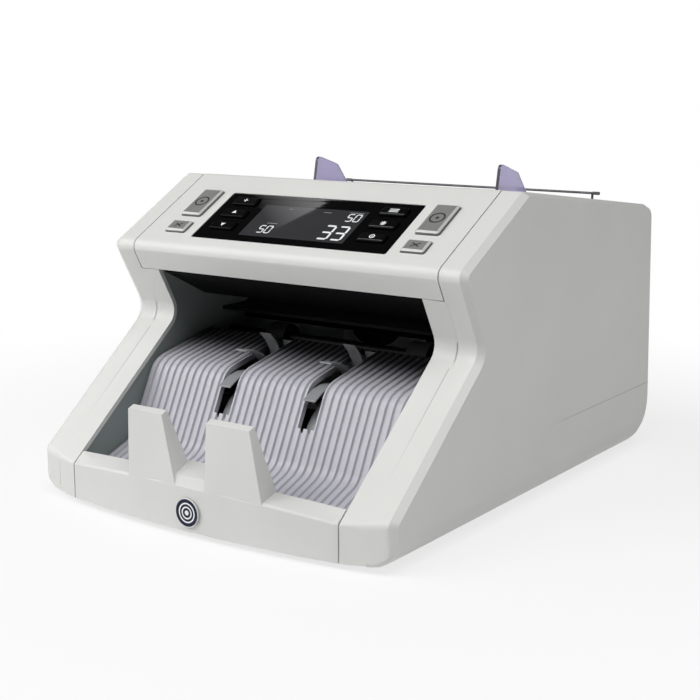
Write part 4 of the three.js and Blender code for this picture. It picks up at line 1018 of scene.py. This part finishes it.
def make_black_keys(sizes, side, x):
    """Three black keys with their symbols. The right ones get a painted highlight on their lower edge."""
    finishes = [FINISH["key_black"], FINISH["black_rim"]]
    if side == "right":
        finishes.append(FINISH["black_edge"])
    for number, row in enumerate(("lower", "middle", "upper")):
        node = f"{row}_ink_key_{side}"
        low = sizes.black_low + number * sizes.black_pitch
        key_cap(
            sizes, node, x, low, sizes.black_width, sizes.black_height, sizes.black_proud,
            sizes.black_rim, sizes.black_edge, "key_black", *finishes,
        )
        y, face = low + sizes.black_height / 2, sizes.black_proud + sizes.mark_gap
        symbol = joined(f"{row}_mark_{side}", *key_symbol(sizes, side, row, x, y, face))
        printed(symbol, sizes, "ink", node)


def make_keys(sizes):
    """The ten keys with their caps and printed marks."""
    for side, way in SIDES:
        make_grey_keys(sizes, side, way * sizes.grey_column)
        make_black_keys(sizes, side, way * sizes.black_column)


def key_symbol(sizes, side, row, x, y, z):
    """The plain symbol of a black key: plus, up, down; three notes, a lamp's rays, a turn."""
    tall, thin = sizes.symbol_size, sizes.symbol_line
    if (side, row) == ("left", "upper"):
        return [bar_mark(x, y, z, tall, thin), bar_mark(x, y, z, tall, thin, math.pi / 2)]
    if (side, row) == ("left", "middle"):
        return [dot_mark(x, y, z, tall * 0.6, corners=3)]
    if (side, row) == ("left", "lower"):
        return [dot_mark(x, y, z, tall * 0.6, corners=3, turn=math.pi)]
    if (side, row) == ("right", "upper"):
        return [bar_mark(x, y + step * sizes.symbol_pitch, z, 2 * tall, thin) for step in (-1, 0, 1)]
    if (side, row) == ("right", "middle"):
        return [bar_mark(x, y, z, tall * 1.2, thin, turn * math.pi / 4) for turn in range(4)]
    return [ring_mark(x, y, z, tall * 0.55, tall * 0.36), dot_mark(x, y, z, tall * 0.16)]


def make_badge(sizes):
    """The round badge: a navy disc in a raised white rim, with two plain white rings and a dot."""
    node = "front_badge"
    low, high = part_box(node)
    middle = (low + high) / 2
    radius = (high.z - low.z) / 2
    put_down()
    bpy.ops.mesh.primitive_cylinder_add(
        vertices=72, radius=radius, depth=high.y - low.y, location=middle, rotation=(math.pi / 2, 0, 0)
    )
    badge = named("badge_disc")
    choose(badge, "FACE", lambda spot, normal: normal.y < -ALONG)
    bpy.ops.mesh.inset(thickness=sizes.badge_rim, depth=0)
    bpy.ops.mesh.inset(thickness=sizes.badge_slope, depth=-sizes.badge_depth)
    rounded(badge, sizes.badge_round, segments=2, angle=20)
    coated(badge, FINISH["tray"], FINISH["navy"])
    # The ink starts at the foot of the rim's slope.
    field = radius - sizes.badge_rim - 0.75 * sizes.badge_slope
    recoated(badge, 1, lambda spot, normal: math.hypot(spot.x - middle.x, spot.z - middle.z) < field)
    carried(badge, node, [node])

    rings = joined(
        "badge_rings",
        ring_mark(0, 0, 0, radius * 0.7, radius * 0.6),
        ring_mark(0, 0, 0, radius * 0.44, radius * 0.34),
        dot_mark(0, 0, 0, radius * 0.17),
    )
    thin_mark(rings, sizes)
    rings.rotation_euler = (math.pi / 2, 0, 0)
    rings.location = (middle.x, low.y + sizes.badge_depth + sizes.ring_sink, middle.z)
    settled(rings)
    coated(rings, FINISH["ink"])
    carried(rings, node)


def make_guides(sizes):
    """The smoked note guides, darker where their front edge is seen end on."""
    for side, way in SIDES:
        node = side + "_note_guide"
        guide = copy_of(node, side + "_guide_fin")
        dressed(guide, node, sizes.sheet_round, "smoke_violet", FINISH["violet"], FINISH["violet_edge"])
        # The front edge looks forward, and the guide's flat sides look left and right.
        recoated(guide, 1, lambda middle, normal: abs(normal.x) < 0.4 and normal.y < -0.25)


def make_bail(sizes):
    """The wire note rest with its dark caps."""
    node = "note_rest_bail"
    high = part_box(node)[1]
    cap_start, cap_low = high.x - sizes.cap_reach, high.z - sizes.cap_depth
    wire = copy_of(node, "bail_wire")
    dressed(wire, node, sizes.wire_round, "steel", FINISH["wire"], FINISH["rubber"])
    recoated(wire, 1, lambda middle, normal: abs(middle.x) > cap_start and middle.z > cap_low)


def make_rollers(sizes):
    """Shafts with rubber tyres, and with moulded pulleys outside the frames; the stacker wheels."""
    for node in ("feed_roller_shaft", "pick_roller_shaft", "exit_roller_shaft", "retard_roller"):
        low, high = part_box(node)
        axis = (low + high) / 2
        roller = copy_of(node, node + "_turned")
        finishes = [FINISH[name] for name in ("rubber", "black_steel", "wheel")]
        dressed(roller, node, sizes.sheet_round, "rubber", *finishes)
        recoated(roller, 1, lambda middle, normal: (middle - axis).yz.length < sizes.shaft_steel)
        recoated(roller, 2, lambda middle, normal: abs(middle.x) > sizes.pulley_start)
    for side, way in SIDES:
        node = side + "_stacker_wheel"
        dressed(copy_of(node, node + "_vanes"), node, sizes.sheet_round, "wheel_grey", FINISH["wheel"])


def screw_form(sizes):
    """The head of a cross-recess pan screw, face up, on the origin."""
    size, rise = sizes.screw_head, sizes.screw_rise
    put_down()
    bpy.ops.mesh.primitive_grid_add(x_subdivisions=5, y_subdivisions=5, size=size, location=(0, 0, rise))
    form = named("screw_form")
    # The rim is drawn out to a circle, and turned down to the face that the head sits on.
    choose(form, "VERT", lambda spot, normal: max(abs(spot.x), abs(spot.y)) > 0.49 * size)
    bpy.ops.transform.tosphere(value=1, center_override=(0, 0, rise))
    choose(form, "EDGE", lambda middle, way: middle.xy.length > 0.42 * size)
    bpy.ops.mesh.extrude_region_move(TRANSFORM_OT_translate={"value": (0, 0, -rise)})
    put_down()
    # The middle row and the middle column but for their ends are sunk, which leaves the driver's cross.
    reach, half, depth, taper = 0.3 * size, 0.1 * size, 0.8 * rise, 0.8

    def in_cross(middle, normal):
        short, long = sorted((abs(middle.x), abs(middle.y)))
        return normal.z > ALONG and short < half and long < reach

    choose(form, "FACE", in_cross)
    bpy.ops.mesh.extrude_region_move(TRANSFORM_OT_translate={"value": (0, 0, -depth)})
    bpy.ops.transform.resize(value=(taper, taper, 1))
    put_down()
    return form


def make_screws(sizes):
    """Four pan screws at the rear cover's greatest depth, and four under the base plate."""
    form = screw_form(sizes)
    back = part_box("rear_cover")[1]
    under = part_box("base_plate")[0]
    across = back.x - sizes.screw_in
    rear = [
        ("rear_screw", "rear_cover", (x, back.y, z), -math.pi / 2)
        for x in (-across, across)
        for z in (sizes.low_screw, sizes.high_screw)
    ]
    base = [
        ("base_screw", "base_plate", (x, y, under.z), math.pi)
        for x in (-across, across)
        for y in (-sizes.base_screw, sizes.base_screw)
    ]
    for number, (name, node, spot, turn) in enumerate(rear + base, start=1):
        screw = bpy.data.objects.new(f"{name}_{number}", form.data.copy())
        bpy.context.scene.collection.objects.link(screw)
        screw.data.name = screw.name
        screw.location = spot
        screw.rotation_euler = (turn, 0, 0)
        settled(screw)
        rounded(screw, sizes.screw_round)
        coated(screw, FINISH["zinc"])
        carried(screw, node)
    bpy.data.objects.remove(form)


def make_rocker_marks(sizes):
    """The bar and the ring on the power rocker, laid on the face that each meets."""
    node = "power_rocker"
    low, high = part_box(node)
    middle = (low + high) / 2
    long = sizes.rocker_mark
    bar = bar_mark(0, 0, 0, long, sizes.rocker_bar, math.pi / 2)
    ring = ring_mark(0, 0, 0, long / 2, sizes.rocker_ring)
    for name, mark, way in (("rocker_on_mark", bar, 1), ("rocker_off_mark", ring, -1)):
        mark.name = mark.data.name = name
        # A ray from behind the rocker finds the face that the mark lies on.
        start = (middle.x, high.y + 10 * MM, middle.z + way * sizes.rocker_reach)
        found, spot, facing, face = frame["nodes"][node].ray_cast(start, (0, -1, 0))
        if not found:
            raise RuntimeError(f"no rocker face behind {name}")
        mark.rotation_euler = (-math.acos(facing.z), 0, 0)
        mark.location = spot - facing * sizes.mark_height / 2
        settled(mark)
        thin_mark(mark, sizes)
        coated(mark, FINISH["ink"])
        carried(mark, node)


def make_small_parts(sizes):
    """Feet, ceiling, hopper and rear parts with their edges eased."""
    feet = [f"{end}_{side}_foot" for end in ("front", "rear") for side, way in SIDES]
    for slot, finish, nodes in (
        ("rubber", "rubber", feet),
        ("dark_plastic", "dark", ("pocket_ceiling", "upper_transport_guide")),
        (
            "housing_grey",
            "housing",
            ("hopper_plate", "hopper_front_slope", "left_hopper_wall", "right_hopper_wall"),
        ),
        ("key_black", "key_black", ("power_rocker",)),
        ("dark_plastic", "dark", ("display_port",)),
    ):
        for node in nodes:
            dressed(copy_of(node, node + "_eased"), node, sizes.sheet_round, slot, FINISH[finish])


def finish_packed_solids():
    """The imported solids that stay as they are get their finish."""
    for finish, nodes in (
        ("board", ("key_board", "main_board")),
        ("dark", ("lcd_module", "lower_transport_guide", "power_inlet")),
        ("wheel", ("guide_pinion",)),
        ("liner", ("left_inner_frame", "right_inner_frame")),
        ("steel", ("stacker_shaft", "motor_pulley")),
        ("zinc", ("drive_motor", "power_supply")),
        ("rubber", ("drive_belt", "pick_belt")),
        ("chassis", ("base_plate",)),
    ):
        for node in nodes:
            frame["nodes"][node].material_slots[0].material = FINISH[finish]


def make_camera(setting):
    """The photo's camera."""
    turn, dip = setting.camera_turn, setting.camera_dip
    ahead = Vector((math.sin(turn) * math.cos(dip), math.cos(turn) * math.cos(dip), -math.sin(dip)))
    camera = bpy.data.objects.new("camera", bpy.data.cameras.new("camera"))
    bpy.context.scene.collection.objects.link(camera)
    camera.location = (setting.camera_x, setting.camera_y, setting.camera_z)
    camera.rotation_euler = ahead.to_track_quat("-Z", "Y").to_euler()
    camera.data.sensor_width = 36
    camera.data.lens = setting.focal
    camera.data.clip_start = 10 * MM
    camera.data.clip_end = 100
    bpy.context.scene.camera = camera


def seen_by(tree, *kinds):
    """A mask that is 1 for rays of these kinds."""
    rays = add_node(tree, "ShaderNodeLightPath")
    first, *others = (rays.outputs[kind] for kind in kinds)
    for other in others:
        sum_of_two = {"operation": "ADD", "use_clamp": True}
        both = add_node(tree, "ShaderNodeMath", sum_of_two, {0: first, 1: other})
        first = both.outputs[0]
    return first


def make_floor(setting):
    """Seamless paper: matt near the counter, where it takes the shadow, and pure white further off."""
    put_down()
    bpy.ops.mesh.primitive_circle_add(
        vertices=96, radius=setting.floor_radius, fill_type="NGON", location=(0, 0, -setting.floor_drop)
    )
    floor = named("floor")
    choose(floor, "FACE", lambda middle, normal: True)
    bpy.ops.mesh.inset(thickness=setting.floor_radius - setting.floor_middle)
    put_down()
    material, tree, output = new_material("Matt paper sweep, white")
    place = add_node(tree, "ShaderNodeTexCoord")
    away = add_node(tree, "ShaderNodeVectorMath", {"operation": "LENGTH"}, {0: place.outputs["Object"]})
    fade = add_node(
        tree,
        "ShaderNodeMapRange",
        {
            "interpolation_type": "SMOOTHSTEP",
            "From Min": setting.shadow_near,
            "From Max": setting.shadow_far,
            "To Min": setting.shadow_white,
            "To Max": 1.0,
        },
        {"Value": away.outputs["Value"]},
    )
    fibre = add_node(
        tree, "ShaderNodeTexNoise", {"Scale": 900.0, "Detail": 2.0}, {"Vector": place.outputs["Object"]}
    )
    bumps = add_node(
        tree, "ShaderNodeBump", {"Strength": 0.1, "Distance": 0.1 * MM}, {"Height": fibre.outputs[0]}
    )
    tone = setting.floor_tone
    paper = add_node(
        tree, "ShaderNodeBsdfDiffuse", {"Color": (tone, tone, tone, 1)}, {"Normal": bumps.outputs[0]}
    )
    white = add_node(tree, "ShaderNodeEmission", {"Color": WHITE, "Strength": 1.0})
    seen = seen_by(tree, "Is Camera Ray", "Is Glossy Ray", "Is Transmission Ray")
    share = add_node(tree, "ShaderNodeMath", {"operation": "MULTIPLY"}, {0: seen, 1: fade.outputs[0]})
    layers = {0: share.outputs[0], 1: paper.outputs[0], 2: white.outputs[0]}
    both = add_node(tree, "ShaderNodeMixShader", None, layers)
    tree.links.new(both.outputs[0], output.inputs["Surface"])
    coated(floor, material)


def make_room(setting):
    """A pure white backdrop, and an even light from all round."""
    world = bpy.data.worlds.new("Studio room")
    bpy.context.scene.world = world
    world.use_nodes = True
    tree = world.node_tree
    tree.nodes.clear()
    seen = seen_by(tree, "Is Camera Ray", "Is Transmission Ray")
    room = add_node(tree, "ShaderNodeBackground", {"Color": WHITE, "Strength": setting.room})
    backdrop = add_node(tree, "ShaderNodeBackground", {"Color": WHITE, "Strength": 1.0})
    layers = {0: seen, 1: room.outputs[0], 2: backdrop.outputs[0]}
    both = add_node(tree, "ShaderNodeMixShader", None, layers)
    add_node(tree, "ShaderNodeOutputWorld", None, {"Surface": both.outputs[0]})


def make_lamps(setting):
    """Four round soft lamps, all facing the counter."""
    aim = Vector((0, 0, setting.lamp_aim))
    # In degrees, each lamp's way round the counter, 0 in front and 90 on its right, and its elevation.
    for name, around, up, power in (
        ("main_lamp", -30, 45, setting.main_lamp),
        ("left_lamp", -60, 25, setting.left_lamp),
        ("right_lamp", 50, 65, setting.right_lamp),
        ("rear_lamp", 120, 20, setting.rear_lamp),
    ):
        around, up = math.radians(around), math.radians(up)
        level = math.cos(up)
        toward = Vector((math.sin(around) * level, -math.cos(around) * level, math.sin(up)))
        spot = setting.lamp_far * toward
        lamp = bpy.data.objects.new(name, bpy.data.lights.new(name, "AREA"))
        bpy.context.scene.collection.objects.link(lamp)
        lamp.data.shape = "DISK"
        lamp.data.size = setting.lamp_size
        lamp.data.energy = power
        lamp.location = spot
        lamp.rotation_euler = (aim - spot).to_track_quat("-Z", "Y").to_euler()


def make_card(setting):
    """A card up on the left, mirrored in the display glass: sharp on its right, fading to its left."""
    put_down()
    bpy.ops.mesh.primitive_plane_add(size=1)
    card = bpy.context.object
    card.name = card.data.name = "reflector_card"
    card.scale = (*setting.card_size, 1)
    card.location = setting.card_place
    card.rotation_euler = setting.card_turn
    material, tree, output = new_material("Lit reflector card")
    place = add_node(tree, "ShaderNodeTexCoord")
    apart = add_node(tree, "ShaderNodeSeparateXYZ", None, {0: place.outputs["Object"]})
    fall = add_node(
        tree,
        "ShaderNodeMapRange",
        {"From Min": -0.5, "From Max": 0.5, "To Min": 0.0, "To Max": setting.card_light},
        {"Value": apart.outputs[0]},
    )
    glow = add_node(tree, "ShaderNodeEmission", {"Color": WHITE}, {"Strength": fall.outputs[0]})
    clear = add_node(tree, "ShaderNodeBsdfTransparent")
    seen = seen_by(tree, "Is Glossy Ray")
    layers = {0: seen, 1: clear.outputs[0], 2: glow.outputs[0]}
    both = add_node(tree, "ShaderNodeMixShader", None, layers)
    tree.links.new(both.outputs[0], output.inputs["Surface"])
    coated(card, material)


def make_stage(setting):
    """Camera, floor, room light, lamps and reflector card."""
    make_camera(setting)
    make_floor(setting)
    make_room(setting)
    make_lamps(setting)
    bpy.context.scene.view_settings.view_transform = "Standard"
    make_card(setting)


class CounterStep:
    """What the operators share: each calls its make function with the counter's sizes."""

    def execute(self, context):
        self.make(context.scene.counter_sizes)
        return {"FINISHED"}


class COUNTER_OT_stage(bpy.types.Operator):
    """Set up the camera, floor and lamps"""

    bl_idname = "counter.stage"
    bl_label = "Stage"

    def execute(self, context):
        make_stage(context.scene.counter_stage)
        return {"FINISHED"}


class COUNTER_OT_finishes(bpy.types.Operator):
    """Make the counter's finishes"""

    bl_idname = "counter.finishes"
    bl_label = "Finishes"

    def execute(self, context):
        FINISH.update(make_finishes(context.scene.counter_colours, context.scene.counter_sizes))
        finish_packed_solids()
        return {"FINISHED"}


class COUNTER_OT_housings(CounterStep, bpy.types.Operator):
    """Round and finish the outer housings"""

    bl_idname = "counter.housings"
    bl_label = "Housings"
    make = staticmethod(make_housings)


class COUNTER_OT_display(CounterStep, bpy.types.Operator):
    """Make the display glass, its window and the lit figures"""

    bl_idname = "counter.display"
    bl_label = "Display"
    make = staticmethod(make_display)


class COUNTER_OT_keys(CounterStep, bpy.types.Operator):
    """Make the ten keys and their marks"""

    bl_idname = "counter.keys"
    bl_label = "Keys"
    make = staticmethod(make_keys)


class COUNTER_OT_badge(CounterStep, bpy.types.Operator):
    """Make the round badge"""

    bl_idname = "counter.badge"
    bl_label = "Badge"
    make = staticmethod(make_badge)


class COUNTER_OT_guides(CounterStep, bpy.types.Operator):
    """Make the two note guides"""

    bl_idname = "counter.guides"
    bl_label = "Note guides"
    make = staticmethod(make_guides)


class COUNTER_OT_bail(CounterStep, bpy.types.Operator):
    """Make the wire note rest"""

    bl_idname = "counter.bail"
    bl_label = "Note rest"
    make = staticmethod(make_bail)


class COUNTER_OT_rollers(CounterStep, bpy.types.Operator):
    """Make the rollers and stacker wheels"""

    bl_idname = "counter.rollers"
    bl_label = "Rollers"
    make = staticmethod(make_rollers)


class COUNTER_OT_screws(CounterStep, bpy.types.Operator):
    """Make the screws of the rear cover and the base plate"""

    bl_idname = "counter.screws"
    bl_label = "Screws"
    make = staticmethod(make_screws)


class COUNTER_OT_rocker_marks(CounterStep, bpy.types.Operator):
    """Make the marks on the power rocker"""

    bl_idname = "counter.rocker_marks"
    bl_label = "Rocker marks"
    make = staticmethod(make_rocker_marks)


class COUNTER_OT_small_parts(CounterStep, bpy.types.Operator):
    """Ease and finish the small parts"""

    bl_idname = "counter.small_parts"
    bl_label = "Small parts"
    make = staticmethod(make_small_parts)


OPERATORS = (
    COUNTER_OT_stage,
    COUNTER_OT_finishes,
    COUNTER_OT_housings,
    COUNTER_OT_display,
    COUNTER_OT_keys,
    COUNTER_OT_badge,
    COUNTER_OT_guides,
    COUNTER_OT_bail,
    COUNTER_OT_rollers,
    COUNTER_OT_screws,
    COUNTER_OT_rocker_marks,
    COUNTER_OT_small_parts,
)


class COUNTER_PT_panel(bpy.types.Panel):
    """Lists the pieces and their sizes, colours and stage"""

    bl_idname = "COUNTER_PT_panel"
    bl_label = "Banknote counter"
    bl_space_type = "VIEW_3D"
    bl_region_type = "UI"
    bl_category = "Counter"

    def draw(self, context):
        for operator in OPERATORS:
            self.layout.operator(operator.bl_idname)
        scene = context.scene
        for group in (scene.counter_sizes, scene.counter_colours, scene.counter_stage):
            box = self.layout.box()
            for name in group.__annotations__:
                box.prop(group, name)


CLASSES = (CounterSizes, CounterColours, CounterStage, *OPERATORS, COUNTER_PT_panel)


def register():
    """Adds the add-on's classes and its settings."""
    for cls in CLASSES:
        bpy.utils.register_class(cls)
    bpy.types.Scene.counter_sizes = bpy.props.PointerProperty(type=CounterSizes)
    bpy.types.Scene.counter_colours = bpy.props.PointerProperty(type=CounterColours)
    bpy.types.Scene.counter_stage = bpy.props.PointerProperty(type=CounterStage)


def unregister():
    """Takes the settings and the classes away again."""
    del bpy.types.Scene.counter_stage, bpy.types.Scene.counter_colours, bpy.types.Scene.counter_sizes
    for cls in reversed(CLASSES):
        bpy.utils.unregister_class(cls)


def main():
    """Builds the whole scene."""
    register()
    for operator in OPERATORS:
        group, name = operator.bl_idname.split(".")
        getattr(getattr(bpy.ops, group), name)()


if __name__ == "__main__":
    main()
